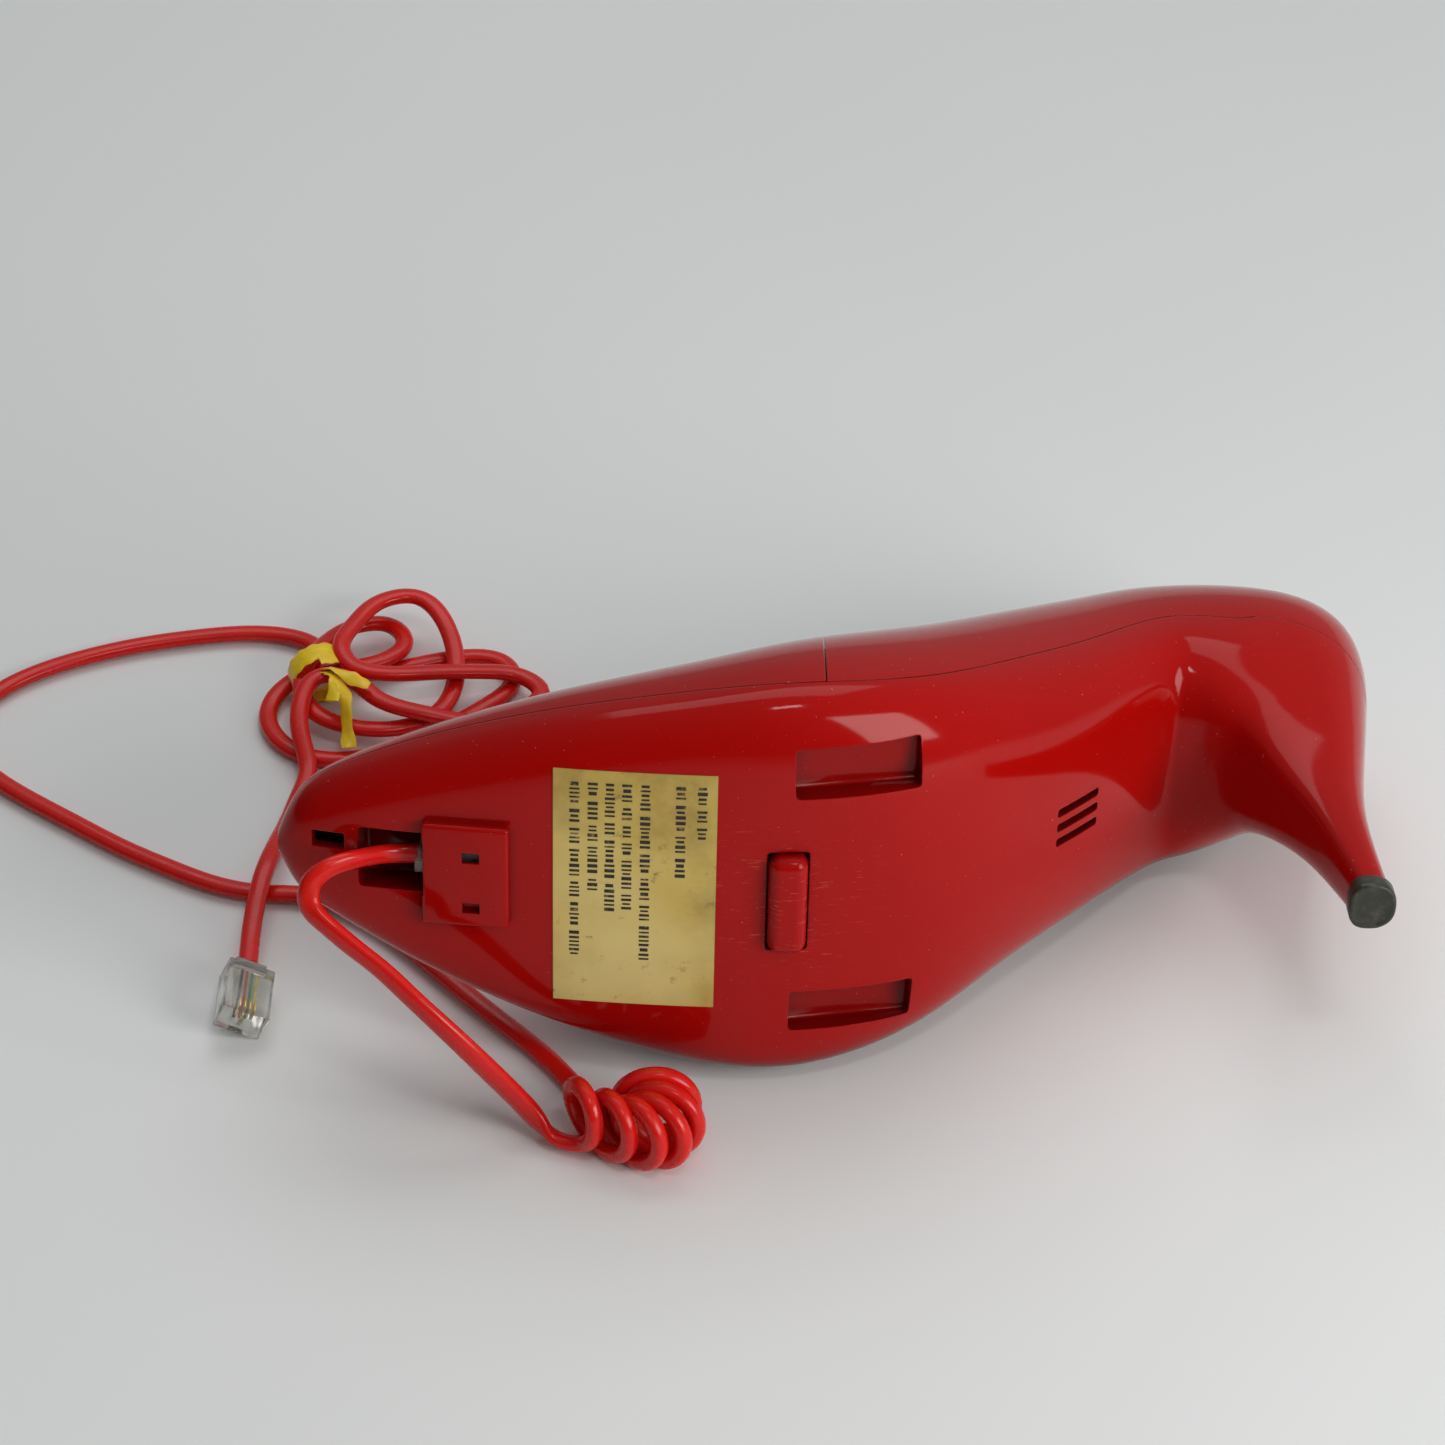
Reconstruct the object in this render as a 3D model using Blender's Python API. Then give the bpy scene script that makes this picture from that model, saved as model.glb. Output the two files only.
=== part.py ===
"""Novelty telephone in the shape of a high-heel pump, lying on its side with its cord.

The pump is modelled upright in its own frame: x runs from toe to heel, z from the ground it would
stand on upward, and y across it.  The empty called "shoe" then lays it on its side.  Lengths in this
file are millimetres; MM turns them into Blender's metres.
"""
import math

import bmesh
import bpy
import numpy as np
from mathutils import Matrix, Vector

MM = 0.001

# ---- driving dimensions, millimetres -------------------------------------------------------------
WALL = 2.4                 # moulded shell thickness
GAP = 0.3                  # clearance between pieces that touch
VERTICAL_SEAM_X = 103.0    # where the vamp ends and the rear quarter begins
THROAT_X = 72.0            # front end of the foot opening
THROAT_LENGTH = 26.0       # how far the opening takes to reach its full width
TOPLINE_BACK_ROW = 11.7    # section row at which the two sides of the top line meet at the heel
SEAM_BACK_ROW = 14.0       # section row at which the sole seam meets at the back
SEAM_ARC_ROW = 11.0        # section row from which the seam curves round the back
ROW_SPACING_AT_BACK = 15.0  # distance between sections there, at the back of the heel
CAVITY_END_ROW = 14.5      # the heel is solid plastic below this row
LAST_ROW = 17.0

LAID_ROLL = 101.0          # degrees about x that lay the upright pump on its side
LAID_TILT = 1.2            # degrees that the heel end dips

SOLE_LABEL_X = (52.6, 83.2)
SOLE_LABEL_Y = (-26.0, 24.6)
HOOK_BAR_X = 96.7          # centre of the hook-switch bar
HOOK_BAR_Y = 0.8
HOOK_BAR_SIZE = (7.4, 20.8)
HOOK_BAR_PROUD = 3.0       # how far the released bar stands out of the sole
HOOK_TRAVEL = 2.5
POCKET_X = (97.6, 122.0)
POCKET_UPPER_Y = (-31.0, -21.0)
POCKET_LOWER_Y = (21.2, 30.4)
POCKET_DEPTH = 9.5
VENT_X = 154.0
VENT_Y = (-3.5, -0.2, 3.1)
VENT_SIZE = (13.4, 1.3)
JACK_BLOCK_X = (28.0, 44.6)
JACK_BLOCK_Y = (-13.6, 8.0)
JACK_BLOCK_PROUD = 2.2
JACK_SLIT_Y = (-7.0, 3.9)
CHANNEL_X = (15.6, 28.6)
CHANNEL_Y = (-10.4, 2.4)
CHANNEL_DEPTH = 7.0
TOE_SLOT_X = (6.8, 13.2)
TOE_SLOT_Y = (-8.6, -5.2)
PLUG_Y = -3.6
RECESSES = ((CHANNEL_X, CHANNEL_Y, CHANNEL_DEPTH), (POCKET_X, POCKET_UPPER_Y, POCKET_DEPTH),
            (POCKET_X, POCKET_LOWER_Y, POCKET_DEPTH))

KEY_PITCH_X = 10.6
KEY_PITCH_Y = 11.4
KEY_SIZE = (7.6, 8.6, 4.6)
KEY_TRAVEL = 1.2
KEY_PROUD = 1.9
KEYPAD_CENTRE_X = 105.0
FACEPLATE_SIZE = (47.0, 39.0, 2.0)
KEYPAD_OPENING = (48.0, 40.0)
FACEPLATE_PROUD = 0.8
MAT_THICKNESS = 1.2
BOARD_THICKNESS = 1.6

INSOLE_THICKNESS = 2.0
INSOLE_PROFILE = ((56, 23.5), (80, 27.0), (105, 30.3), (128, 34.0), (145, 46.0), (160, 62.0), (175, 75.0),
                  (190, 82.0), (203, 84.5), (213, 84.5))
MAIN_BOARD = ((46.0, 112.0), 36.0, 14.6)      # x range, width, underside height
RECEIVER = ((194.0, 1.0, 70.6), 14.0, 8.0)    # centre, radius, thickness
MICROPHONE = ((66.0, 0.0, 19.4), 4.85, 5.0)
RINGER = (154.0, 11.0, 2.6)                   # x, radius, thickness
HOOK_SWITCH_SIZE = (12.0, 6.4, 4.6)
JACK_SIZE = (13.0, 12.4, 8.8)
JACK_X = 36.4
PLUG_SIZE = (14.5, 7.6, 6.6)
PLUG_X = 32.4
PLUG_DEPTH = 3.4           # centre of the plug below the sole's surface
SCREW_X = 110.0
SCREW_Y = (-26.0, 25.8)

# The cord, in the laid object's own frame: flat flexible cord, drawn as round solids.
CORD_RADIUS = 2.0
COIL_RADIUS = 9.0
POINT_SPACING = 9.0
NEAR_RUN = (
    (-84.2, -41.2, 49.7), (-88.5, -43.0, 51.0), (-93.0, -46.6, 53.0), (-98.0, -49.4, 54.0),
    (-102.0, -51.2, 51.2), (-103.0, -52.4, 46.4), (-99.4, -54.0, 42.4), (-92.0, -56.4, 38.0),
    (-85.0, -58.4, 32.0), (-78.5, -60.2, 25.0), (-72.2, -61.8, 17.6), (-67.0, -63.2, 10.6),
    (-62.8, -65.4, 4.6), (-58.6, -67.2, 2.6),
)
COIL_AXIS = ((-56.8, -67.8, 9.2), (-50.0, -67.8, 9.2), (-43.0, -69.0, 9.2), (-37.4, -71.2, 9.2),
             (-32.4, -74.2, 9.2))
LINE_RUN = (
    (-27.9, -72.8, 2.3), (-25.9, -68.8, 2.3), (-26.9, -64.2, 2.3), (-31.6, -61.0, 2.3), (-38.4, -58.4, 2.3),
    (-46.0, -55.4, 2.3), (-56.0, -49.0, 2.3), (-68.0, -37.6, 2.3), (-80.0, -24.4, 2.3), (-92.0, -11.6, 2.3),
    (-101.0, -4.6, 2.3), (-110.0, -0.8, 2.3), (-117.4, -0.3, 2.3), (-127.7, 2.1, 2.3), (-138.1, 7.3, 2.3),
    (-149.0, 13.8, 2.3), (-160.0, 21.6, 2.3), (-171.4, 29.9, 2.3), (-181.0, 38.5, 2.3), (-187.0, 49.0, 2.3),
    (-183.6, 62.0, 2.3), (-172.5, 72.2, 2.3), (-161.8, 77.5, 2.3), (-151.6, 81.0, 2.3), (-141.0, 83.1, 2.3),
    (-130.5, 83.0, 2.6), (-121.6, 81.0, 3.0),
)
TAIL_RUN = (
    (-111.6, 38.6, 3.2), (-113.2, 30.0, 2.3), (-114.6, 22.0, 2.6), (-115.9, 13.0, 5.4), (-117.0, 6.0, 7.6),
    (-118.0, 0.0, 7.9), (-118.8, -6.5, 6.4), (-119.1, -13.0, 4.4), (-118.9, -19.9, 4.2),
)
BUNDLE_CENTRE = (-92.0, 66.0)
BUNDLE_SIZE = (58.0, 56.0, 15.0)
BUNDLE_TURN = 8.0          # degrees about the vertical
LINE_PLUG_PLACE = (-118.6, -30.0, 4.3)
LINE_PLUG_SIZE = (9.6, 18.4, 8.0)
TIE_PLACE = (-107.0, 62.0, 15.9)

# Sections of the outer skin, toe to heel tip.  A section lies in the plane through its bottom point,
# its top point and the y axis.  Columns: bottom x, bottom z, top x, top z, half width, height of the
# widest place and of the sole seam as fractions of the section, roundness of the lower and upper
# halves, and sideways shift of the section.
SECTIONS = (
    # bottom x,z    top x,z       half   widest  seam  lower upper  shift
    (0.0, 12.0, 0.0, 17.0, 2.0, 0.45, 0.50, 2.2, 2.0, -3.0),
    (4.0, 9.0, 4.0, 22.0, 10.0, 0.42, 0.50, 2.5, 2.0, -3.2),
    (12.0, 7.0, 12.0, 27.0, 16.0, 0.38, 0.42, 3.0, 2.0, -3.0),
    (28.0, 4.4, 28.0, 33.0, 24.0, 0.33, 0.34, 3.6, 2.0, -1.8),
    (52.0, 1.8, 52.0, 41.0, 33.0, 0.28, 0.26, 4.2, 2.0, -0.2),
    (78.0, 0.2, 78.0, 50.0, 39.5, 0.25, 0.20, 4.6, 2.0, 1.0),
    (100.0, 0.6, 100.0, 60.0, 42.0, 0.25, 0.16, 4.2, 2.0, 1.0),
    (122.0, 6.0, 122.0, 72.0, 38.5, 0.30, 0.20, 3.6, 2.0, 0.6),
    (140.0, 18.0, 140.0, 86.0, 33.0, 0.36, 0.27, 3.2, 2.0, 0.4),
    (157.0, 35.0, 157.0, 100.0, 29.0, 0.38, 0.31, 3.2, 2.0, 1.6),
    (171.0, 52.0, 175.0, 110.0, 27.0, 0.36, 0.32, 3.4, 2.0, 2.8),
    (176.0, 55.0, 202.0, 109.0, 25.5, 0.40, 0.35, 3.6, 2.1, 2.6),
    (179.0, 54.0, 215.5, 98.0, 23.0, 0.46, 0.47, 3.8, 2.2, 1.6),
    (182.5, 52.0, 217.5, 84.0, 19.5, 0.52, 0.70, 4.0, 2.3, 0.6),
    (187.0, 48.0, 216.0, 70.0, 15.5, 0.55, 1.00, 4.0, 2.4, 0.0),
    (192.0, 39.0, 212.5, 49.0, 10.6, 0.52, 1.00, 4.0, 2.5, 0.0),
    (198.0, 25.0, 210.0, 28.0, 7.2, 0.48, 1.00, 3.6, 2.5, 0.0),
    (203.4, 4.0, 210.6, 4.2, 4.6, 0.45, 1.00, 3.2, 2.5, 0.0),
)


# ---- small numeric helpers -----------------------------------------------------------------------
def spline(knots, values, at):
    """Natural cubic spline through hand-chosen points."""
    knots = np.asarray(knots, float)
    values = np.asarray(values, float)
    at = np.clip(np.asarray(at, float), knots[0], knots[-1])
    count = len(knots)
    step = np.diff(knots)
    matrix = np.eye(count)
    rhs = np.zeros(count)
    for i in range(1, count - 1):
        matrix[i, i - 1:i + 2] = (step[i - 1], 2 * (step[i - 1] + step[i]), step[i])
        rhs[i] = 6 * ((values[i + 1] - values[i]) / step[i] - (values[i] - values[i - 1]) / step[i - 1])
    bend = np.linalg.solve(matrix, rhs)
    i = np.clip(np.searchsorted(knots, at) - 1, 0, count - 2)
    run = at - knots[i]
    slope = (values[i + 1] - values[i]) / step[i] - step[i] * (2 * bend[i] + bend[i + 1]) / 6
    return values[i] + run * slope + run ** 2 * bend[i] / 2 + run ** 3 * (bend[i + 1] - bend[i]) / (6 * step[i])


def spaced(start, stop, count):
    return [start + (stop - start) * i / (count - 1) for i in range(count)]


# ---- the outer skin ------------------------------------------------------------------------------
ROWS = np.arange(len(SECTIONS))
COLUMNS = np.array(SECTIONS)
BOTTOM_X, BOTTOM_Z, TOP_X, TOP_Z, HALF, WIDEST, SEAM, LOWER, UPPER, SHIFT = range(10)


def section(row, column):
    return float(spline(ROWS, COLUMNS[:, column], row))


def turn_at_height(row, fraction):
    """How far round the half section a height fraction lies: 0 bottom, 0.5 widest, 1 top."""
    widest = section(row, WIDEST)
    if fraction < widest:
        cosine = (1 - max(fraction, 0.0) / widest) ** (section(row, LOWER) / 2)
    else:
        cosine = -(min(fraction - widest, 1 - widest) / (1 - widest)) ** (section(row, UPPER) / 2)
    return math.acos(max(-1.0, min(1.0, cosine))) / math.pi


def skin_point(row, turn, side):
    """A point of the outer skin; side is +1 for the lower-lying side, -1 for the other."""
    angle = turn * math.pi
    power = 2 / section(row, LOWER if turn < 0.5 else UPPER)
    widest = section(row, WIDEST)
    rise = abs(math.cos(angle)) ** power
    fraction = widest * (1 - rise) if turn < 0.5 else widest + (1 - widest) * rise
    across = section(row, HALF) * abs(math.sin(angle)) ** power
    x = section(row, BOTTOM_X) + fraction * (section(row, TOP_X) - section(row, BOTTOM_X))
    z = section(row, BOTTOM_Z) + fraction * (section(row, TOP_Z) - section(row, BOTTOM_Z))
    return Vector((x, section(row, SHIFT) + side * across, z))


def inner_point(row, turn, side, depth):
    """The point straight behind a skin point, depth inside it."""
    step = 0.01
    ahead = skin_point(min(row + step, LAST_ROW), turn, side)
    along = ahead - skin_point(max(row - step, 0.0), turn, side)
    on_centre_line = min(turn, 1 - turn) < 0.0001
    if on_centre_line:
        near = step if turn < 0.5 else 1 - step
        around = skin_point(row, near, side) - skin_point(row, near, -side)
        around *= 1 if turn < 0.5 else -1
    else:
        around = skin_point(row, min(turn + step, 1.0), side) - skin_point(row, max(turn - step, 0.0), side)
    inward = along.cross(around).normalized() * side
    return skin_point(row, turn, side) + inward * depth


def row_at_x(x):
    """Row of the upright section at a distance from the toe."""
    low, high = 0.0, 9.0
    for _ in range(40):
        middle = (low + high) / 2
        low, high = (middle, high) if section(middle, BOTTOM_X) < x else (low, middle)
    return low


def seam_end_row(offset):
    """Row at which the seam, moved up the wall by offset, closes round the back of the heel."""
    return SEAM_BACK_ROW - offset / ROW_SPACING_AT_BACK


def seam_turn(row, offset):
    """The sole seam, moved up the wall by offset: a fraction of the height, then an arc round the back."""
    start = min(row, SEAM_ARC_ROW)
    length = math.hypot(section(start, TOP_X) - section(start, BOTTOM_X),
                        section(start, TOP_Z) - section(start, BOTTOM_Z))
    turn = turn_at_height(start, section(start, SEAM) + offset / length)
    along = min(max(row - SEAM_ARC_ROW, 0.0) / (seam_end_row(offset) - SEAM_ARC_ROW), 1.0)
    return 1 - (1 - turn) * math.sqrt(1 - along ** 2)


def arc_rows(offset, count):
    """Rows along the seam's arc round the back, closer together toward its end."""
    reach = seam_end_row(offset) - SEAM_ARC_ROW
    return [SEAM_ARC_ROW + reach * math.sin(angle) for angle in spaced(0, math.pi / 2, count)]


def topline_turn(row):
    """The edge of the foot opening; 1 where the skin is closed over the top."""
    x = section(row, BOTTOM_X)
    if x <= THROAT_X or row >= TOPLINE_BACK_ROW:
        return 1.0
    side_turn = float(spline((4, 6, 8, 10, 12), (0.69, 0.72, 0.77, 0.80, 0.82), row))
    opened = min((x - THROAT_X) / THROAT_LENGTH, 1.0)
    front = math.sqrt(1 - (1 - opened) ** 2)
    back = math.sqrt(min((TOPLINE_BACK_ROW - row) / 1.3, 1.0))
    return 1 - (1 - side_turn) * front * back


def sole_height(x, y):
    """Height of the sole's outer surface under a point."""
    row = row_at_x(x)
    across = min(abs(y - section(row, SHIFT)) / section(row, HALF), 1.0)
    sine = across ** (section(row, LOWER) / 2)
    fraction = section(row, WIDEST) * (1 - math.sqrt(1 - sine ** 2) ** (2 / section(row, LOWER)))
    return section(row, BOTTOM_Z) + fraction * (section(row, TOP_Z) - section(row, BOTTOM_Z))


def sole_slope(x):
    """Angle of the sole's centre line, positive where it rises toward the heel."""
    return math.atan2(sole_height(x + 1, 0) - sole_height(x - 1, 0), 2)


def half_width_at(x, z):
    """Half width and sideways shift of the skin at a place in the side view."""
    low, high = 0.0, 13.9
    for _ in range(40):
        row = (low + high) / 2
        bottom = Vector((section(row, BOTTOM_X), section(row, BOTTOM_Z)))
        along = Vector((section(row, TOP_X), section(row, TOP_Z))) - bottom
        reach = Vector((x, z)) - bottom
        ahead = reach.x * along.y - reach.y * along.x > 0
        low, high = (row, high) if ahead else (low, row)
    turn = turn_at_height(row, reach.dot(along) / along.length_squared)
    point = skin_point(row, turn, 1)
    shift = section(row, SHIFT)
    return point.y - shift, shift


# ---- scene helpers -------------------------------------------------------------------------------
def clear_scene():
    for item in list(bpy.data.objects):
        bpy.data.objects.remove(item, do_unlink=True)


def material(name, colour, roughness, metallic=0.0, transmission=0.0):
    made = bpy.data.materials.new(name)
    made.use_nodes = True
    shader = made.node_tree.nodes["Principled BSDF"]
    shader.inputs["Base Color"].default_value = (*colour, 1.0)
    shader.inputs["Roughness"].default_value = roughness
    shader.inputs["Metallic"].default_value = metallic
    shader.inputs["Transmission Weight"].default_value = transmission
    return made


def piece(name, bm, made_of, parent=None, smooth_angle=math.radians(35)):
    """Turn a bmesh drawn in millimetres into a named object."""
    bmesh.ops.scale(bm, vec=(MM, MM, MM), verts=bm.verts)
    mesh = bpy.data.meshes.new(name)
    bm.to_mesh(mesh)
    bm.free()
    mesh.shade_smooth()
    mesh.set_sharp_from_angle(angle=smooth_angle)
    mesh.materials.append(made_of)
    item = bpy.data.objects.new(name, mesh)
    bpy.context.scene.collection.objects.link(item)
    item.parent = parent
    return item


def put(item, location, pitch=0.0):
    """Place a piece in the shoe's frame, tipped nose-up by pitch about y."""
    item.location = Vector(location) * MM
    item.rotation_euler = (0, -pitch, 0)
    return item


def add_box(bm, centre, size, pitch=0.0, bevel=0.0, segments=2):
    made = bmesh.ops.create_cube(bm, size=1.0)["verts"]
    bmesh.ops.scale(bm, vec=size, verts=made)
    if bevel:
        edges = list({edge for vert in made for edge in vert.link_edges})
        rounded = bmesh.ops.bevel(bm, geom=edges, offset=bevel, segments=segments, affect="EDGES", profile=0.5)
        made = rounded["verts"]
    place = Matrix.Translation(centre) @ Matrix.Rotation(-pitch, 4, "Y")
    bmesh.ops.transform(bm, matrix=place, verts=made)
    return made


def add_cylinder(bm, centre, radius, depth, pitch=0.0, sides=24, end_radius=None):
    place = Matrix.Translation(centre) @ Matrix.Rotation(-pitch, 4, "Y")
    top = radius if end_radius is None else end_radius
    return bmesh.ops.create_cone(bm, cap_ends=True, segments=sides, radius1=radius, radius2=top,
                                 depth=depth, matrix=place)["verts"]


def box(size, bevel=0.0, segments=1):
    bm = bmesh.new()
    add_box(bm, (0, 0, 0), size, bevel=bevel, segments=segments)
    return bm


def tool(name, bm, parent):
    """A cutter or an addition for a Boolean; never part of the object."""
    item = piece(name, bm, bpy.data.materials["guide"], parent)
    item.hide_render = True
    item.display_type = "WIRE"
    return item


def combine(item, other, operation):
    step = item.modifiers.new(other.name, "BOOLEAN")
    step.operation = operation
    step.solver = "EXACT"
    step.object = other
    return item


def sole_place(x, y, depth):
    """A point depth into the shoe from the sole's outer surface, square to it."""
    slope = sole_slope(x)
    return Vector((x - math.sin(slope) * depth, y, sole_height(x, 0) + math.cos(slope) * depth))


# ---- shells --------------------------------------------------------------------------------------
def front_rows():
    """Rows shared by the shells that meet at the seam, toe to vertical seam."""
    return spaced(0, 2, 9)[:-1] + spaced(2, row_at_x(VERTICAL_SEAM_X), 15)


def rear_rows(offset):
    """Rows shared by the shells that meet at the seam, vertical seam to the back of the heel."""
    before_arc = spaced(row_at_x(VERTICAL_SEAM_X), 10, 12)[:-1] + spaced(10, SEAM_ARC_ROW, 4)[:-1]
    return before_arc + arc_rows(offset, 13)


def skin_patch(rows, first_turn, last_turn, columns, crowding=1.0):
    """Both sides of the skin between two turns, merged where the sides meet."""
    bm = bmesh.new()
    place = [bm.verts.layers.float.new(name) for name in ("row", "turn", "side")]
    for side in (1, -1):
        grid = []
        for row in rows:
            start, stop = first_turn(row), last_turn(row)
            line = []
            for j in range(columns + 1):
                turn = start + (stop - start) * (j / columns) ** crowding
                vert = bm.verts.new(skin_point(row, turn, side))
                for layer, value in zip(place, (row, turn, side)):
                    vert[layer] = value
                line.append(vert)
            grid.append(line)
        for here, there in zip(grid, grid[1:]):
            for j in range(columns):
                corners = [here[j], there[j], there[j + 1], here[j + 1]]
                bm.faces.new(corners if side < 0 else corners[::-1])
    bmesh.ops.remove_doubles(bm, verts=bm.verts, dist=0.02)
    bmesh.ops.dissolve_degenerate(bm, edges=bm.edges, dist=0.02)
    return bm


def close_front(bm):
    """Fill the small upright oval at the very toe."""
    front = min(vert.co.x for vert in bm.verts)
    at_front = [vert for vert in bm.verts if vert.co.x < front + 0.01]
    edges = [edge for edge in bm.edges if edge.is_boundary and all(vert in at_front for vert in edge.verts)]
    ends = [vert for vert in at_front if sum(edge in edges for edge in vert.link_edges) == 1]
    if len(ends) == 2:
        edges.append(bm.edges.new(ends))
    bmesh.ops.contextual_create(bm, geom=edges)


def thicken(bm, thickness, last_hollow_row=LAST_ROW):
    """Give an open skin an inner face, rims, and a floor where it stops being hollow."""
    place = [bm.verts.layers.float[name] for name in ("row", "turn", "side")]
    outer_faces = list(bm.faces)
    rims = [edge for edge in bm.edges if edge.is_boundary]
    twins = {}
    for vert in list(bm.verts):
        row, turn, side = (vert[layer] for layer in place)
        if row <= last_hollow_row:
            twins[vert] = bm.verts.new(inner_point(row, turn, side, thickness))
    inner_edges = {}
    for face in outer_faces:
        if all(vert in twins for vert in face.verts):
            bm.faces.new([twins[vert] for vert in reversed(face.verts)])
            for edge in face.edges:
                inner_edges[edge] = inner_edges.get(edge, 0) + 1
    for edge in rims:
        first, second = edge.verts
        if first in twins and second in twins:
            bm.faces.new((first, second, twins[second], twins[first]))
    floor = [bm.edges.get([twins[vert] for vert in edge.verts])
             for edge, used in inner_edges.items() if used == 1 and edge not in rims]
    if floor:
        bmesh.ops.contextual_create(bm, geom=floor)
    bmesh.ops.recalc_face_normals(bm, faces=bm.faces)
    return bm


def facing_out(bm):
    """Make sure that an inside-out closed body is turned round."""
    if bm.calc_volume(signed=True) < 0:
        bmesh.ops.reverse_faces(bm, faces=bm.faces)
    return bm


def make_lower_shell(shoe, plastic):
    """Sole, seat and heel in one moulding, cut for everything on the sole."""
    rows = front_rows()[:-1] + rear_rows(-GAP / 2) + spaced(14.3, LAST_ROW, 8)
    bm = skin_patch(rows, lambda row: 0.0, lambda row: seam_turn(row, -GAP / 2), 8, 1.5)
    close_front(bm)
    tip_edges = [edge for edge in bm.edges if edge.is_boundary and max(v.co.z for v in edge.verts) < 4.5
                 and min(v.co.x for v in edge.verts) > 190]
    bmesh.ops.contextual_create(bm, geom=tip_edges)
    thicken(bm, WALL, CAVITY_END_ROW)
    shell = piece("lower_shell", facing_out(bm), plastic, shoe)
    return shell


def make_vamp_shell(shoe, plastic):
    last = row_at_x(VERTICAL_SEAM_X - GAP / 2)
    throat = row_at_x(THROAT_X)
    rows = [row for row in front_rows() if abs(row - throat) > 0.1 and row < last - 0.01]
    rows = sorted(rows + [throat + step for step in (0.0, 0.01, 0.05, 0.12, 0.22)] + [last])
    bm = skin_patch(rows, lambda row: seam_turn(row, GAP / 2), topline_turn, 7)
    close_front(bm)
    return piece("vamp_shell", facing_out(thicken(bm, WALL)), plastic, shoe)


def make_quarter_shell(shoe, plastic):
    first = row_at_x(VERTICAL_SEAM_X + GAP / 2)
    rows = [row for row in rear_rows(GAP / 2)[:-1] if row > first + 0.01]
    rows = sorted([first] + rows + [TOPLINE_BACK_ROW - step for step in (0.0, 0.012, 0.05, 0.13)])
    bm = skin_patch(rows, lambda row: seam_turn(row, GAP / 2), topline_turn, 7)
    return piece("quarter_shell", facing_out(thicken(bm, WALL)), plastic, shoe)


def jack_block(shoe):
    """The raised block on the sole that holds the jack."""
    bm = bmesh.new()
    block_x, block_y = sum(JACK_BLOCK_X) / 2, sum(JACK_BLOCK_Y) / 2
    block = (JACK_BLOCK_X[1] - JACK_BLOCK_X[0], JACK_BLOCK_Y[1] - JACK_BLOCK_Y[0], JACK_BLOCK_PROUD + 4.0)
    centre = sole_place(block_x, block_y, block[2] / 2 - JACK_BLOCK_PROUD)
    add_box(bm, centre, block, sole_slope(block_x), 0.5)
    return tool("jack_block", bm, shoe)


def recess_walls(shoe):
    """The walls behind the sole's recesses."""
    bm = bmesh.new()
    wall = 1.6
    for along, across, depth in RECESSES:
        x, y = sum(along) / 2, sum(across) / 2
        size = (along[1] - along[0] + 2 * wall, across[1] - across[0] + 2 * wall, depth + wall - 1.0)
        add_box(bm, sole_place(x, y, 1.0 + size[2] / 2), size, sole_slope(x))
    return tool("recess_walls", bm, shoe)


def sole_cuts(shoe):
    """Everything that is cut from the sole moulding."""
    bm = bmesh.new()
    for along, across, depth in (*RECESSES, (TOE_SLOT_X, TOE_SLOT_Y, 8.0)):
        x, y = sum(along) / 2, sum(across) / 2
        outside = 4.0
        size = (along[1] - along[0], across[1] - across[0], depth + outside)
        add_box(bm, sole_place(x, y, size[2] / 2 - outside), size, sole_slope(x))
    slot = (HOOK_BAR_SIZE[0] + 2 * GAP, HOOK_BAR_SIZE[1] + 2 * GAP, 12.0)
    add_box(bm, sole_place(HOOK_BAR_X, HOOK_BAR_Y, 0.0), slot)
    for y in VENT_Y:
        add_box(bm, sole_place(VENT_X, y, 0.0), (*VENT_SIZE, 8.0), sole_slope(VENT_X))
    return tool("sole_cuts", bm, shoe)


def jack_cuts(shoe):
    """The jack's nest, open to the inside, the way in for the plug, and two slits beside them."""
    slope = sole_slope(JACK_X)
    nest = (JACK_SIZE[0] + 2 * GAP, JACK_SIZE[1] + 2 * GAP, 12.0)
    way_in = (6.0, PLUG_SIZE[1] + 0.8, PLUG_SIZE[2] + 0.8)
    cuts = [("jack_nest", [(sole_place(JACK_X, PLUG_Y, nest[2] / 2 - 1.4), nest)]),
            ("jack_way_in", [(sole_place(JACK_X - 8.4, PLUG_Y, PLUG_DEPTH), way_in)]),
            ("jack_slits", [(sole_place(JACK_X + 1.0, y, -2.6), (3.4, 1.4, 2.0)) for y in JACK_SLIT_Y])]
    for name, boxes in cuts:
        bm = bmesh.new()
        for centre, size in boxes:
            add_box(bm, centre, size, slope)
        yield tool(name, bm, shoe)


def make_prism(outline, length):
    """A solid with an x-z outline, drawn out along y."""
    bm = bmesh.new()
    face = bm.faces.new([bm.verts.new((x, -length / 2, z)) for x, z in outline])
    drawn = bmesh.ops.extrude_face_region(bm, geom=[face])["geom"]
    bmesh.ops.translate(bm, vec=(0, length, 0), verts=[v for v in drawn if isinstance(v, bmesh.types.BMVert)])
    bmesh.ops.recalc_face_normals(bm, faces=bm.faces)
    return bm


def stack_rings(rings):
    """A closed solid from rings of points, one above another."""
    bm = bmesh.new()
    grid = [[bm.verts.new(point) for point in ring] for ring in rings]
    sides = len(grid[0])
    for here, there in zip(grid, grid[1:]):
        for i in range(sides):
            bm.faces.new((here[i], here[(i + 1) % sides], there[(i + 1) % sides], there[i]))
    bm.faces.new(grid[0])
    bm.faces.new(grid[-1])
    bmesh.ops.recalc_face_normals(bm, faces=bm.faces)
    return bm


def circle(radius, z, sides):
    return [(radius * math.cos(2 * math.pi * i / sides), radius * math.sin(2 * math.pi * i / sides), z)
            for i in range(sides)]


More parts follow.
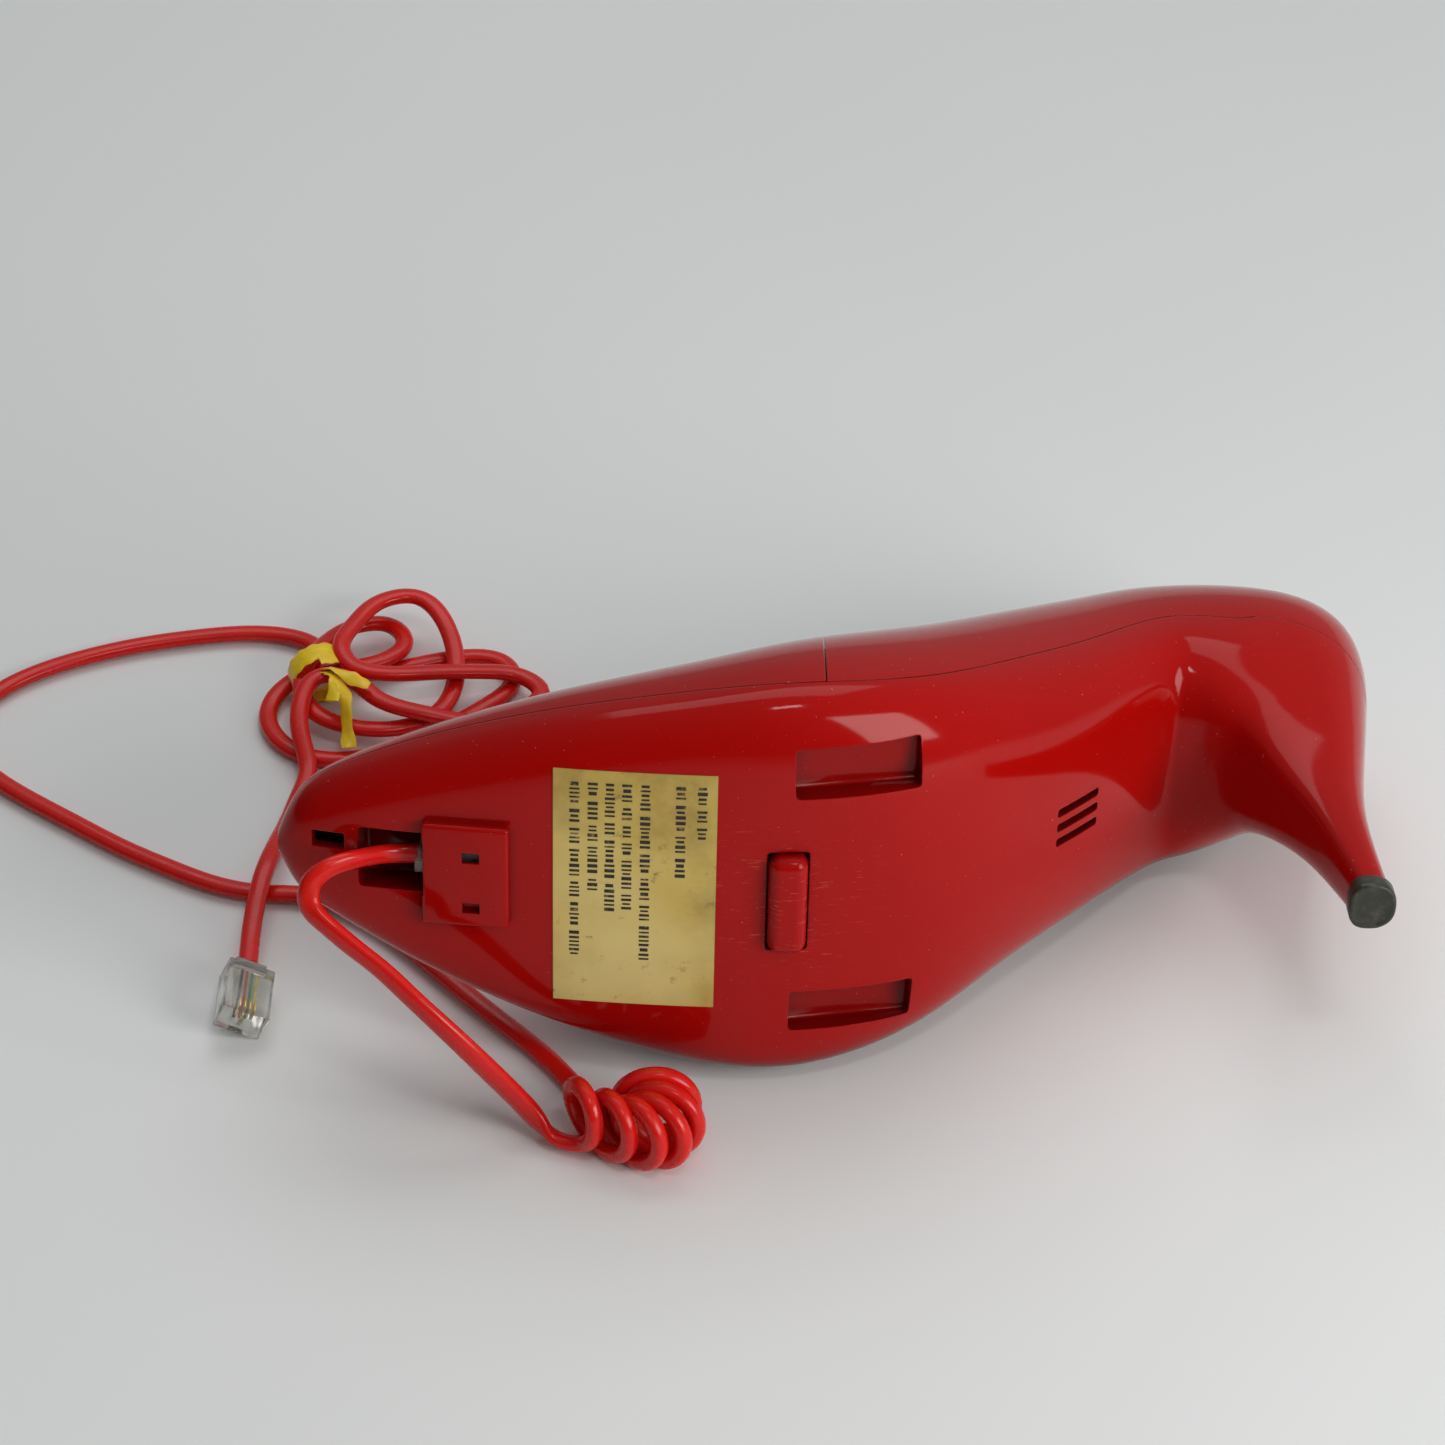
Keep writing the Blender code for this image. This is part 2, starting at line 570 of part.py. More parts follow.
def make_heel_tip(shoe, rubber):
    """Rubber top piece under the heel, a rounded D a little wider than the heel's end."""
    end = skin_point(LAST_ROW, 0.0, 1)
    back = skin_point(LAST_ROW, 1.0, 1)
    centre_x, half_x = (end.x + back.x) / 2, (back.x - end.x) / 2 + 0.9
    half_y = section(LAST_ROW, HALF) + 0.3
    ring = []
    for x, y, _ in circle(1.0, 0.0, 28):
        ring.append((half_x * math.copysign(abs(x) ** (0.62 if x < 0 else 1.0), x),
                     half_y * math.copysign(abs(y) ** 0.8, y)))
    top = end.z - GAP
    levels = ((0.96, top), (1.0, top - 0.3), (1.0, 0.6), (0.9, 0.0))
    bm = stack_rings([[(centre_x + x * scale, y * scale, z) for x, y in ring] for scale, z in levels])
    return piece("heel_tip", bm, rubber, shoe)


def make_label(shoe, paper):
    """Thin sheet that follows the sole."""
    bm = bmesh.new()
    xs = spaced(*SOLE_LABEL_X, 7)
    ys = spaced(*SOLE_LABEL_Y, 9)
    layers = []
    for lift in (GAP, GAP + 0.3):
        layers.append([[bm.verts.new((x, y, sole_height(x, y) - lift)) for y in ys] for x in xs])
    for layer in layers:
        for i in range(len(xs) - 1):
            for j in range(len(ys) - 1):
                bm.faces.new((layer[i][j], layer[i + 1][j], layer[i + 1][j + 1], layer[i][j + 1]))
    near, far = layers
    border = [(i, 0) for i in range(len(xs))] + [(len(xs) - 1, j) for j in range(1, len(ys))]
    border += [(i, len(ys) - 1) for i in range(len(xs) - 2, -1, -1)]
    border += [(0, j) for j in range(len(ys) - 2, 0, -1)]
    for (i, j), (k, m) in zip(border, border[1:] + border[:1]):
        bm.faces.new((near[i][j], near[k][m], far[k][m], far[i][j]))
    bmesh.ops.recalc_face_normals(bm, faces=bm.faces)
    return piece("rating_label", bm, paper, shoe)


# ---- hook switch ---------------------------------------------------------------------------------
def make_hook_switch(shoe, red, black):
    """Bar that the standing phone pushes in, and the switch with its plunger behind it."""
    length, width = HOOK_BAR_SIZE[0], HOOK_BAR_SIZE[1]
    half = length / 2
    flange = half + 1.5
    flange_low = WALL + 3 * GAP
    flange_high = flange_low + 1.2
    outline = [(-half, flange_low), (-half, -HOOK_BAR_PROUD + 1.6)]
    outline += [(-half + 1.6 - 1.6 * math.cos(a), -HOOK_BAR_PROUD + 1.6 - 1.6 * math.sin(a))
                for a in spaced(0, math.pi / 2, 5)[1:]]
    outline += [(-x, z) for x, z in reversed(outline)]
    outline += [(flange, flange_low), (flange, flange_high), (-flange, flange_high), (-flange, flange_low)]
    base = sole_place(HOOK_BAR_X, HOOK_BAR_Y, 0.0)
    put(piece("hook_switch_bar", make_prism(outline, width), red, shoe), base)
    plunger_low = flange_high + HOOK_TRAVEL + GAP
    plunger = bmesh.new()
    add_cylinder(plunger, (0, 0, 0.7), 3.0, 1.4, sides=20)
    put(piece("hook_switch_plunger", plunger, red, shoe), base + Vector((0, 0, plunger_low)))
    switch_low = plunger_low + 1.4 + GAP
    put(piece("hook_switch", box(HOOK_SWITCH_SIZE, 0.3), black, shoe),
        base + Vector((0, 0, switch_low + HOOK_SWITCH_SIZE[2] / 2)))


# ---- insole and keypad ---------------------------------------------------------------------------
def insole_height(x):
    return float(spline([point[0] for point in INSOLE_PROFILE], [point[1] for point in INSOLE_PROFILE], x))


def insole_half_width(x):
    """Room between the shells at the insole, and its sideways shift."""
    clear = WALL + (0.8 if x < 190 else 2.6)
    low, high = insole_height(x) - INSOLE_THICKNESS, insole_height(x)
    widths = [half_width_at(x, z) for z in (low, high)] + [half_width_at(min(x + 3.4, 216.9), high)]
    room = min(widths[0][0] - clear, widths[1][0] - clear, widths[2][0])
    return max(room, 0.8), widths[0][1]


def keypad_pitch():
    run = 20.0
    rise = insole_height(KEYPAD_CENTRE_X + run) - insole_height(KEYPAD_CENTRE_X - run)
    return math.atan2(rise, 2 * run)


def keypad_place(along, across, lift):
    """A point on the keypad: along toward the heel, across, and lift above the insole."""
    pitch = keypad_pitch()
    return Vector((KEYPAD_CENTRE_X + along * math.cos(pitch) - lift * math.sin(pitch), across + 0.9,
                   insole_height(KEYPAD_CENTRE_X) + along * math.sin(pitch) + lift * math.cos(pitch)))


def make_insole(shoe, lining):
    """Padded-looking panel inside the shoe that carries the keypad and hides the works."""
    bm = bmesh.new()
    xs = spaced(INSOLE_PROFILE[0][0], 206, 22) + [209.0, 211.0, 212.4]
    columns = 4
    layers = []
    for drop in (0.0, INSOLE_THICKNESS):
        layer = []
        for x in xs:
            room, shift = insole_half_width(x)
            slope = math.atan2(insole_height(x + 1) - insole_height(x - 1), 2)
            back, up = x + math.sin(slope) * drop, insole_height(x) - math.cos(slope) * drop
            layer.append([bm.verts.new((back, shift + room * (2 * j / columns - 1), up))
                          for j in range(columns + 1)])
        layers.append(layer)
    upper, lower = layers
    last = len(xs) - 1
    for layer in layers:
        for i in range(last):
            for j in range(columns):
                bm.faces.new((layer[i][j], layer[i + 1][j], layer[i + 1][j + 1], layer[i][j + 1]))
    border = [(i, 0) for i in range(last)] + [(last, j) for j in range(columns)]
    border += [(i, columns) for i in range(last, 0, -1)] + [(0, j) for j in range(columns, 0, -1)]
    for (i, j), (k, m) in zip(border, border[1:] + border[:1]):
        bm.faces.new((upper[i][j], upper[k][m], lower[k][m], lower[i][j]))
    bmesh.ops.recalc_face_normals(bm, faces=bm.faces)
    insole = piece("insole_panel", bm, lining, shoe)
    posts = bmesh.new()
    for y in SCREW_Y:
        low = sole_height(SCREW_X, 0) + POCKET_DEPTH + 4.6
        high = insole_height(SCREW_X) - 1.0
        add_cylinder(posts, (SCREW_X, y, (low + high) / 2), 3.4, high - low, sides=16)
    combine(insole, tool("insole_posts", posts, shoe), "UNION")
    cuts = bmesh.new()
    add_box(cuts, keypad_place(0, 0, 0), (*KEYPAD_OPENING, 8.0), keypad_pitch())
    for y in SCREW_Y:
        screw_middle = sole_height(SCREW_X, 0) + POCKET_DEPTH + 8.0
        add_cylinder(cuts, (SCREW_X, y, screw_middle), 1.7, 8.0, sides=12)
    centre = RECEIVER[0]
    holes = [(0.0, 0.0)] + [(6.0 * math.cos(k * math.pi / 3), 6.0 * math.sin(k * math.pi / 3)) for k in range(6)]
    for along, across in holes:
        add_cylinder(cuts, (centre[0] + along, centre[1] + across, insole_height(centre[0])), 1.3, 12.0, sides=10)
    for across in (-2.5, 0.0, 2.5):
        add_cylinder(cuts, (MICROPHONE[0][0], across, insole_height(MICROPHONE[0][0])), 0.6, 8.0, sides=8)
    return combine(insole, tool("insole_cuts", cuts, shoe), "DIFFERENCE")


def key_places():
    """Name and place of the twelve keys; the first row is the one nearest the toe."""
    rows = (("1", "2", "3"), ("4", "5", "6"), ("7", "8", "9"), ("star", "0", "hash"))
    for i, names in enumerate(rows):
        for j, name in enumerate(names):
            yield name, (i - 1.5) * KEY_PITCH_X, (j - 1) * KEY_PITCH_Y


def make_keypad(shoe, plate, cream, grey, board):
    """Faceplate, twelve keys, rubber mat and contact board."""
    pitch = keypad_pitch()
    face_top = FACEPLATE_PROUD
    face = put(piece("keypad_faceplate", box(FACEPLATE_SIZE, 0.5), plate, shoe),
               keypad_place(0, 0, face_top - FACEPLATE_SIZE[2] / 2), pitch)
    holes = bmesh.new()
    key_centre = face_top + KEY_PROUD - KEY_SIZE[2] / 2
    for name, along, across in key_places():
        add_box(holes, keypad_place(along, across, key_centre),
                (KEY_SIZE[0] + 2 * GAP, KEY_SIZE[1] + 2 * GAP, 8.0), pitch)
        put(piece("key_" + name, box(KEY_SIZE, 0.7), cream, shoe), keypad_place(along, across, key_centre), pitch)
    combine(face, tool("key_holes", holes, shoe), "DIFFERENCE")
    mat_top = key_centre - KEY_SIZE[2] / 2 - KEY_TRAVEL - GAP
    size = (FACEPLATE_SIZE[0] - 2.0, FACEPLATE_SIZE[1] - 2.0)
    put(piece("keypad_mat", box((*size, MAT_THICKNESS)), grey, shoe),
        keypad_place(0, 0, mat_top - MAT_THICKNESS / 2), pitch)
    put(piece("keypad_board", box((*size, BOARD_THICKNESS)), board, shoe),
        keypad_place(0, 0, mat_top - MAT_THICKNESS - GAP - BOARD_THICKNESS / 2), pitch)


# ---- works inside --------------------------------------------------------------------------------
def make_works(shoe, board, black, steel, brass):
    (start, stop), width, low = MAIN_BOARD
    put(piece("main_board", box((stop - start, width, BOARD_THICKNESS)), board, shoe),
        ((start + stop) / 2, 0.5, low + BOARD_THICKNESS / 2))
    for name, (centre, radius, depth), made_of in (("receiver_capsule", RECEIVER, black),
                                                   ("microphone_capsule", MICROPHONE, steel)):
        bm = bmesh.new()
        add_cylinder(bm, (0, 0, 0), radius, depth, sides=28)
        put(piece(name, bm, made_of, shoe), centre)
    x, radius, depth = RINGER
    bm = bmesh.new()
    add_cylinder(bm, (0, 0, 0), radius, depth, sides=28)
    put(piece("ringer_disc", bm, brass, shoe), sole_place(x, -0.2, WALL + 3.5), sole_slope(x))


def make_jack(shoe, black, clear):
    """Modular jack in its nest, and the clear plug of the cord in it."""
    slope = sole_slope(JACK_X)
    depth_centre = JACK_SIZE[2] / 2 - 1.1
    bm = bmesh.new()
    jack = put(piece("modular_jack", box(JACK_SIZE), black, shoe), sole_place(JACK_X, PLUG_Y, depth_centre), slope)
    cavity = (JACK_SIZE[0], PLUG_SIZE[1] + 2 * GAP, PLUG_SIZE[2] + 2 * GAP)
    add_box(bm, sole_place(JACK_X - 2.0, PLUG_Y, PLUG_DEPTH), cavity, slope)
    combine(jack, tool("jack_cavity", bm, shoe), "DIFFERENCE")
    put(piece("jack_plug", box(PLUG_SIZE, 0.3), clear, shoe), sole_place(PLUG_X, PLUG_Y, PLUG_DEPTH), slope)


def make_screws(shoe, steel):
    """Self-tapping screws at the bottom of the two pockets, up into the insole's posts."""
    floor = sole_height(SCREW_X, 0) + POCKET_DEPTH
    levels = ((2.6, -2.6), (2.6, -1.2), (1.3, -0.6), (1.3, 9.0), (0.5, 10.5))
    for name, y in zip(("shell_screw_upper", "shell_screw_lower"), SCREW_Y):
        bm = stack_rings([circle(radius, z, 16) for radius, z in levels])
        put(piece(name, bm, steel, shoe), (SCREW_X, y, floor))


def screw_cuts(shoe):
    bm = bmesh.new()
    for y in SCREW_Y:
        add_cylinder(bm, (SCREW_X, y, sole_height(SCREW_X, 0) + POCKET_DEPTH), 1.8, 9.0, sides=12)
    return tool("screw_cuts", bm, shoe)


# ---- the cord ------------------------------------------------------------------------------------
def smooth_route(route):
    """Evenly spaced points on a smooth curve through a route."""
    route = np.array(route, float)
    marks = np.concatenate(([0.0], np.cumsum(np.linalg.norm(np.diff(route, axis=0), axis=1))))
    count = max(3, int(round(marks[-1] / POINT_SPACING)) + 1)
    at = np.linspace(0, marks[-1], count)
    return np.stack([spline(marks, route[:, axis], at) for axis in range(3)], axis=1)


def make_tube(name, route, radius, sides_level, made_of):
    """A round solid along a route, with closed ends."""
    curve = bpy.data.curves.new(name, "CURVE")
    curve.dimensions = "3D"
    curve.bevel_depth = radius * MM
    curve.bevel_resolution = sides_level
    curve.use_fill_caps = True
    points = smooth_route(route)
    line = curve.splines.new("POLY")
    line.points.add(len(points) - 1)
    for point, place in zip(line.points, points):
        point.co = (*(place * MM), 1.0)
    curve.materials.append(made_of)
    item = bpy.data.objects.new(name, curve)
    bpy.context.scene.collection.objects.link(item)
    return item


def make_bundle(cord):
    """The loosely wound rest of the cord as one rounded slab."""
    length, width, height = BUNDLE_SIZE
    levels = ((0.93, 0.0), (1.0, 2.5), (1.0, height - 4.0), (0.9, height))
    bm = stack_rings([[(x * length / 2, y * width / 2, z) for x, y, _ in circle(scale, z, 40)]
                      for scale, z in levels])
    item = piece("cord_bundle", bm, cord)
    item.location = Vector((*BUNDLE_CENTRE, 0.2)) * MM
    item.rotation_euler = (0, 0, math.radians(BUNDLE_TURN))


def make_cord(cord, clear, yellow):
    make_tube("near_cord", NEAR_RUN, CORD_RADIUS, 2, cord)
    make_tube("coiled_cord", COIL_AXIS, COIL_RADIUS, 4, cord)
    make_tube("line_cord", LINE_RUN, CORD_RADIUS, 2, cord)
    make_tube("tail_cord", TAIL_RUN, CORD_RADIUS, 2, cord)
    make_bundle(cord)
    plug = piece("line_plug", box(LINE_PLUG_SIZE, 0.4), clear)
    plug.location = Vector(LINE_PLUG_PLACE) * MM
    tie = piece("twist_tie", box((34.0, 4.0, 0.8), 0.2), yellow)
    tie.location = Vector(TIE_PLACE) * MM
    tie.rotation_euler = (0, 0, math.radians(-35))


def lay_down(shoe):
    """Put the laid pump's own pieces on the ground, centred over the origin."""
    bpy.context.view_layer.update()
    seen = bpy.context.evaluated_depsgraph_get()
    corners = []
    for item in shoe.children:
        if not item.hide_render and item.name != "jack_plug":
            mesh = item.evaluated_get(seen).data
            corners += [item.matrix_world @ vert.co for vert in mesh.vertices]
    low = [min(corner[axis] for corner in corners) for axis in range(3)]
    high = [max(corner[axis] for corner in corners) for axis in range(3)]
    shoe.location = (-(low[0] + high[0]) / 2, -(low[1] + high[1]) / 2, -low[2])


def main():
    clear_scene()
    material("guide", (1, 1, 1), 0.5)
    red = material("red_plastic", (0.42, 0.004, 0.004), 0.16)
    rubber = material("black_rubber", (0.02, 0.02, 0.018), 0.6)
    paper = material("aged_paper", (0.62, 0.5, 0.22), 0.55)
    black = material("black_plastic", (0.02, 0.02, 0.02), 0.4)
    cream = material("cream_plastic", (0.8, 0.78, 0.7), 0.35)
    lining = material("black_lining", (0.03, 0.028, 0.028), 0.5)
    grey = material("grey_rubber", (0.3, 0.3, 0.3), 0.7)
    board = material("circuit_board", (0.05, 0.22, 0.1), 0.5)
    steel = material("steel", (0.6, 0.6, 0.6), 0.3, 1.0)
    brass = material("brass", (0.7, 0.5, 0.2), 0.3, 1.0)
    clear = material("clear_plastic", (0.9, 0.9, 0.88), 0.1, 0.0, 1.0)
    cord = material("red_cord", (0.55, 0.008, 0.006), 0.3)
    yellow = material("yellow_tie", (0.8, 0.6, 0.01), 0.5)

    shoe = bpy.data.objects.new("shoe", None)
    bpy.context.scene.collection.objects.link(shoe)
    shoe.rotation_euler = (-math.radians(LAID_ROLL), math.radians(LAID_TILT), 0)
    lower = make_lower_shell(shoe, red)
    combine(lower, jack_block(shoe), "UNION")
    combine(lower, recess_walls(shoe), "UNION")
    combine(lower, sole_cuts(shoe), "DIFFERENCE")
    for cut in jack_cuts(shoe):
        combine(lower, cut, "DIFFERENCE")
    combine(lower, screw_cuts(shoe), "DIFFERENCE")
    make_vamp_shell(shoe, red)
    make_quarter_shell(shoe, red)
    make_heel_tip(shoe, rubber)
    make_label(shoe, paper)
    make_hook_switch(shoe, red, black)
    make_insole(shoe, lining)
    make_keypad(shoe, black, cream, grey, board)
    make_works(shoe, board, black, steel, brass)
    make_jack(shoe, black, clear)
    make_screws(shoe, steel)
    lay_down(shoe)
    make_cord(cord, clear, yellow)


main()
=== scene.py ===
"""Looks of the high-heel pump telephone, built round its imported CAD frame.

The pump is described upright in its own frame (x toe to heel, y across, z up, millimetres) by the same
sections as the CAD part, drawn finer here, and SHOE lays it on its side.  Cord and floor are in the
row frame.
"""

import bisect
import functools
import math
import random

import bmesh
import bpy
import numpy as np
from mathutils import Euler, Matrix, Vector


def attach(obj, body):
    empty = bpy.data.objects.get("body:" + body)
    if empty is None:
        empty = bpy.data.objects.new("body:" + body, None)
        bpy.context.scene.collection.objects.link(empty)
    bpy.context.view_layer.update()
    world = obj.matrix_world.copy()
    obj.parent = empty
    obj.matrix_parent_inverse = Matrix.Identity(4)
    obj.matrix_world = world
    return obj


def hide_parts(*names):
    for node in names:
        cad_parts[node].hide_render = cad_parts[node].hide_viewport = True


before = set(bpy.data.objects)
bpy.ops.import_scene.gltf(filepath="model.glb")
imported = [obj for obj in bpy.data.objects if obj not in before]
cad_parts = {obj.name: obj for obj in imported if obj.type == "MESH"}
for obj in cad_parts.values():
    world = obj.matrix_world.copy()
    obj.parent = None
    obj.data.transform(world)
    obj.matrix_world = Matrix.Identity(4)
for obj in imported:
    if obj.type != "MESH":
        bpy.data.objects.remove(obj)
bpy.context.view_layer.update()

MM = 0.001
HANDSET = "handset"
LAID_PLACE = Vector((-108.55, -50.06, 48.16)) * MM
LAID_TURN = Euler((-math.radians(101), math.radians(1.2), 0))
SHOE = Matrix.Translation(LAID_PLACE) @ LAID_TURN.to_matrix().to_4x4()

# ---- dimensions of the pump, millimetres ----
WALL = 2.4
GAP = 0.3
HALF_SEAM = 0.13
VERTICAL_SEAM_X = 103.0
THROAT_X = 72.0
THROAT_LENGTH = 26.0
TOPLINE_BACK_ROW = 11.7
SEAM_BACK_ROW = 14.0
SEAM_ARC_ROW = 11.0
ROW_SPACING_AT_BACK = 15.0
SOLE_END_ROW = 9.0
COUNTER_END_ROW = 13.9
SPIKE_START_ROW = 14.3
CAVITY_END_ROW = 14.5
LAST_ROW = 17.0
TOPLINE_BACK_ROWS = 1.3

SECTIONS = (
    # bottom x,z    top x,z       half   widest  seam  lower upper  shift
    (0.0, 12.0, 0.0, 17.0, 2.0, 0.45, 0.50, 2.2, 2.0, -3.0),
    (4.0, 9.0, 4.0, 22.0, 10.0, 0.42, 0.50, 2.5, 2.0, -3.2),
    (12.0, 7.0, 12.0, 27.0, 16.0, 0.38, 0.42, 3.0, 2.0, -3.0),
    (28.0, 4.4, 28.0, 33.0, 24.0, 0.33, 0.34, 3.6, 2.0, -1.8),
    (52.0, 1.8, 52.0, 41.0, 33.0, 0.28, 0.26, 4.2, 2.0, -0.2),
    (78.0, 0.2, 78.0, 50.0, 39.5, 0.25, 0.20, 4.6, 2.0, 1.0),
    (100.0, 0.6, 100.0, 60.0, 42.0, 0.25, 0.16, 4.2, 2.0, 1.0),
    (122.0, 6.0, 122.0, 72.0, 38.5, 0.30, 0.20, 3.6, 2.0, 0.6),
    (140.0, 18.0, 140.0, 86.0, 33.0, 0.36, 0.27, 3.2, 2.0, 0.4),
    (157.0, 35.0, 157.0, 100.0, 29.0, 0.38, 0.31, 3.2, 2.0, 1.6),
    (171.0, 52.0, 175.0, 110.0, 27.0, 0.36, 0.32, 3.4, 2.0, 2.8),
    (176.0, 55.0, 202.0, 109.0, 25.5, 0.40, 0.35, 3.6, 2.1, 2.6),
    (179.0, 54.0, 215.5, 98.0, 23.0, 0.46, 0.47, 3.8, 2.2, 1.6),
    (182.5, 52.0, 217.5, 84.0, 19.5, 0.52, 0.70, 4.0, 2.3, 0.6),
    (187.0, 48.0, 216.0, 70.0, 15.5, 0.55, 1.00, 4.0, 2.4, 0.0),
    (192.0, 39.0, 212.5, 49.0, 10.6, 0.52, 1.00, 4.0, 2.5, 0.0),
    (198.0, 25.0, 210.0, 28.0, 7.2, 0.48, 1.00, 3.6, 2.5, 0.0),
    (203.4, 4.0, 210.6, 4.2, 4.6, 0.45, 1.00, 3.2, 2.5, 0.0),
)
BOTTOM_X, BOTTOM_Z, TOP_X, TOP_Z, HALF, WIDEST, SEAM, LOWER, UPPER, SHIFT = range(10)

SOLE_LABEL_X = (52.6, 83.2)
SOLE_LABEL_Y = (-26.0, 24.6)
HOOK_BAR_X = 96.7
HOOK_BAR_Y = 0.8
HOOK_BAR_SIZE = (7.4, 20.8)
HOOK_BAR_PROUD = 3.0
POCKET_X = (97.6, 122.0)
POCKET_UPPER_Y = (-31.0, -21.0)
POCKET_LOWER_Y = (21.2, 30.4)
POCKET_DEPTH = 5.7
VENT_X = 154.0
VENT_Y = (-3.5, -0.2, 3.1)
VENT_SIZE = (12.8, 1.8)
JACK_BLOCK_X = (28.0, 44.6)
JACK_BLOCK_Y = (-13.6, 8.0)
JACK_BLOCK_PROUD = 2.2
JACK_SLIT_Y = (-7.0, 3.9)
CHANNEL_X = (15.6, 28.6)
CHANNEL_Y = (-10.4, 2.4)
CHANNEL_DEPTH = 7.0
TOE_SLOT_X = (6.8, 13.2)
TOE_SLOT_Y = (-8.6, -5.2)
PLUG_Y = -3.6
RECESSES = ((CHANNEL_X, CHANNEL_Y, CHANNEL_DEPTH), (POCKET_X, POCKET_UPPER_Y, POCKET_DEPTH),
            (POCKET_X, POCKET_LOWER_Y, POCKET_DEPTH))
JACK_SIZE = (13.0, 12.4, 8.8)
JACK_X = 36.4
PLUG_SIZE = (14.5, 7.6, 6.6)
PLUG_X = 32.4
PLUG_DEPTH = 3.4

KEY_PITCH_X = 10.6
KEY_PITCH_Y = 11.4
KEY_SIZE = (7.6, 8.6, 4.6)
KEY_PROUD = 1.9
KEYPAD_CENTRE_X = 105.0
FACEPLATE_SIZE = (47.0, 39.0, 2.0)
KEYPAD_OPENING = (48.0, 40.0)
FACEPLATE_PROUD = 0.8
INSOLE_THICKNESS = 2.0
INSOLE_PROFILE = ((56, 23.5), (80, 27.0), (105, 30.3), (128, 34.0), (145, 46.0), (160, 62.0), (175, 75.0),
                  (190, 82.0), (203, 84.5), (213, 84.5))
RECEIVER_CENTRE = (194.0, 1.0)
MICROPHONE_X = 66.0

# ---- the cord, row frame, millimetres ----
NEAR_RUN = (
    (-80.8, -41.6, 50.0), (-84.4, -41.5, 50.0), (-88.5, -43.0, 51.0), (-93.0, -46.6, 53.0),
    (-97.6, -49.6, 53.6), (-101.0, -51.6, 51.2), (-101.2, -53.4, 47.4), (-98.0, -55.8, 44.6),
    (-92.9, -58.4, 41.2), (-88.2, -60.6, 38.2), (-83.6, -63.0, 34.6), (-78.9, -65.2, 30.5),
    (-74.2, -66.6, 25.6), (-69.9, -67.2, 20.2), (-65.6, -67.2, 14.0), (-61.6, -67.6, 8.4),
    (-58.7, -68.7, 4.6), (-55.8, -70.4, 2.7),
)
COIL_RADIUS = 6.7
COIL_TURNS = 5.75
COIL_POINTS_PER_TURN = 28
COIL_HALF_THICKNESS = 1.75
COIL_LINE = (          # middle of the turns, and degrees that they face away from the x axis
    (-53.6, -68.2, 31), (-47.6, -71.4, 37), (-42.4, -73.8, 43), (-38.2, -74.4, 51), (-35.6, -72.2, 63),
    (-35.4, -68.6, 81), (-37.6, -65.0, 102),
)
LINE_RUN = (
    (-44.9, -66.0, 4.8), (-46.8, -64.0, 2.6), (-49.6, -60.6, 2.0), (-52.8, -55.8, 2.0), (-58.0, -48.6, 2.0),
    (-68.0, -37.6, 2.0), (-80.0, -24.4, 2.0), (-92.0, -11.6, 2.0),
    (-101.0, -4.6, 2.0), (-110.0, -0.8, 2.0), (-117.4, -0.3, 2.0), (-127.7, 2.1, 2.0), (-138.1, 7.3, 2.0),
    (-149.0, 13.8, 2.0), (-160.0, 21.6, 2.0), (-171.4, 29.9, 2.0), (-181.0, 38.5, 2.0), (-187.0, 49.0, 2.0),
    (-183.6, 62.0, 2.0), (-172.5, 72.2, 2.0), (-161.8, 77.5, 2.0), (-151.6, 81.0, 2.0), (-141.0, 83.4, 2.0),
    (-131.0, 84.8, 2.0), (-122.0, 84.3, 2.0), (-115.2, 81.2, 2.2), (-110.6, 75.6, 2.6),
)
LOOPS = (
    (-106.5, 72.0, 3.0), (-101.0, 71.6, 2.4), (-89.5, 74.4, 2.0), (-80.0, 76.6, 2.0), (-73.0, 75.2, 2.0),
    (-69.8, 68.6, 2.0), (-75.4, 59.6, 2.0), (-86.0, 50.4, 2.0), (-96.0, 44.4, 2.0), (-105.5, 41.8, 2.0),
    (-114.0, 43.6, 2.0), (-120.0, 49.5, 2.0), (-122.3, 57.0, 2.0), (-120.6, 63.6, 2.4), (-116.6, 67.4, 3.6),
    (-111.5, 68.4, 5.4), (-105.0, 68.6, 5.6), (-98.2, 71.4, 5.2), (-94.0, 77.6, 4.8), (-97.8, 84.2, 4.8),
    (-105.2, 83.2, 5.2), (-110.8, 76.6, 6.2), (-113.8, 68.4, 7.4), (-115.0, 60.4, 7.0), (-112.0, 53.2, 6.0),
    (-104.0, 49.0, 5.2), (-94.0, 48.8, 4.8), (-86.4, 53.0, 4.7), (-82.6, 61.0, 4.7), (-82.2, 70.0, 5.6),
    (-85.2, 80.8, 8.4), (-91.6, 87.6, 10.0), (-99.4, 85.2, 10.6), (-104.6, 77.0, 10.8),
    (-106.8, 69.0, 10.9),
    (-104.0, 63.2, 10.4), (-97.0, 61.2, 9.8), (-86.0, 63.0, 8.7), (-75.4, 66.0, 6.4), (-68.2, 66.4, 4.9),
    (-63.4, 61.0, 4.6), (-67.6, 54.6, 4.6), (-76.4, 50.8, 5.0), (-87.8, 50.2, 7.8), (-98.4, 54.0, 9.0),
    (-105.2, 59.4, 10.2), (-111.2, 59.2, 10.4), (-114.4, 52.6, 8.8), (-113.8, 44.4, 6.0),
)
TAIL_RUN = (
    (-112.0, 37.0, 3.2), (-113.2, 30.0, 2.2), (-114.6, 22.0, 2.6), (-115.9, 13.0, 4.8), (-117.0, 6.0, 6.2),
    (-118.0, 0.0, 6.3), (-118.8, -6.5, 5.2), (-119.1, -14.0, 4.6), (-118.9, -24.4, 4.6),
)
PATH_STEP = 1.1
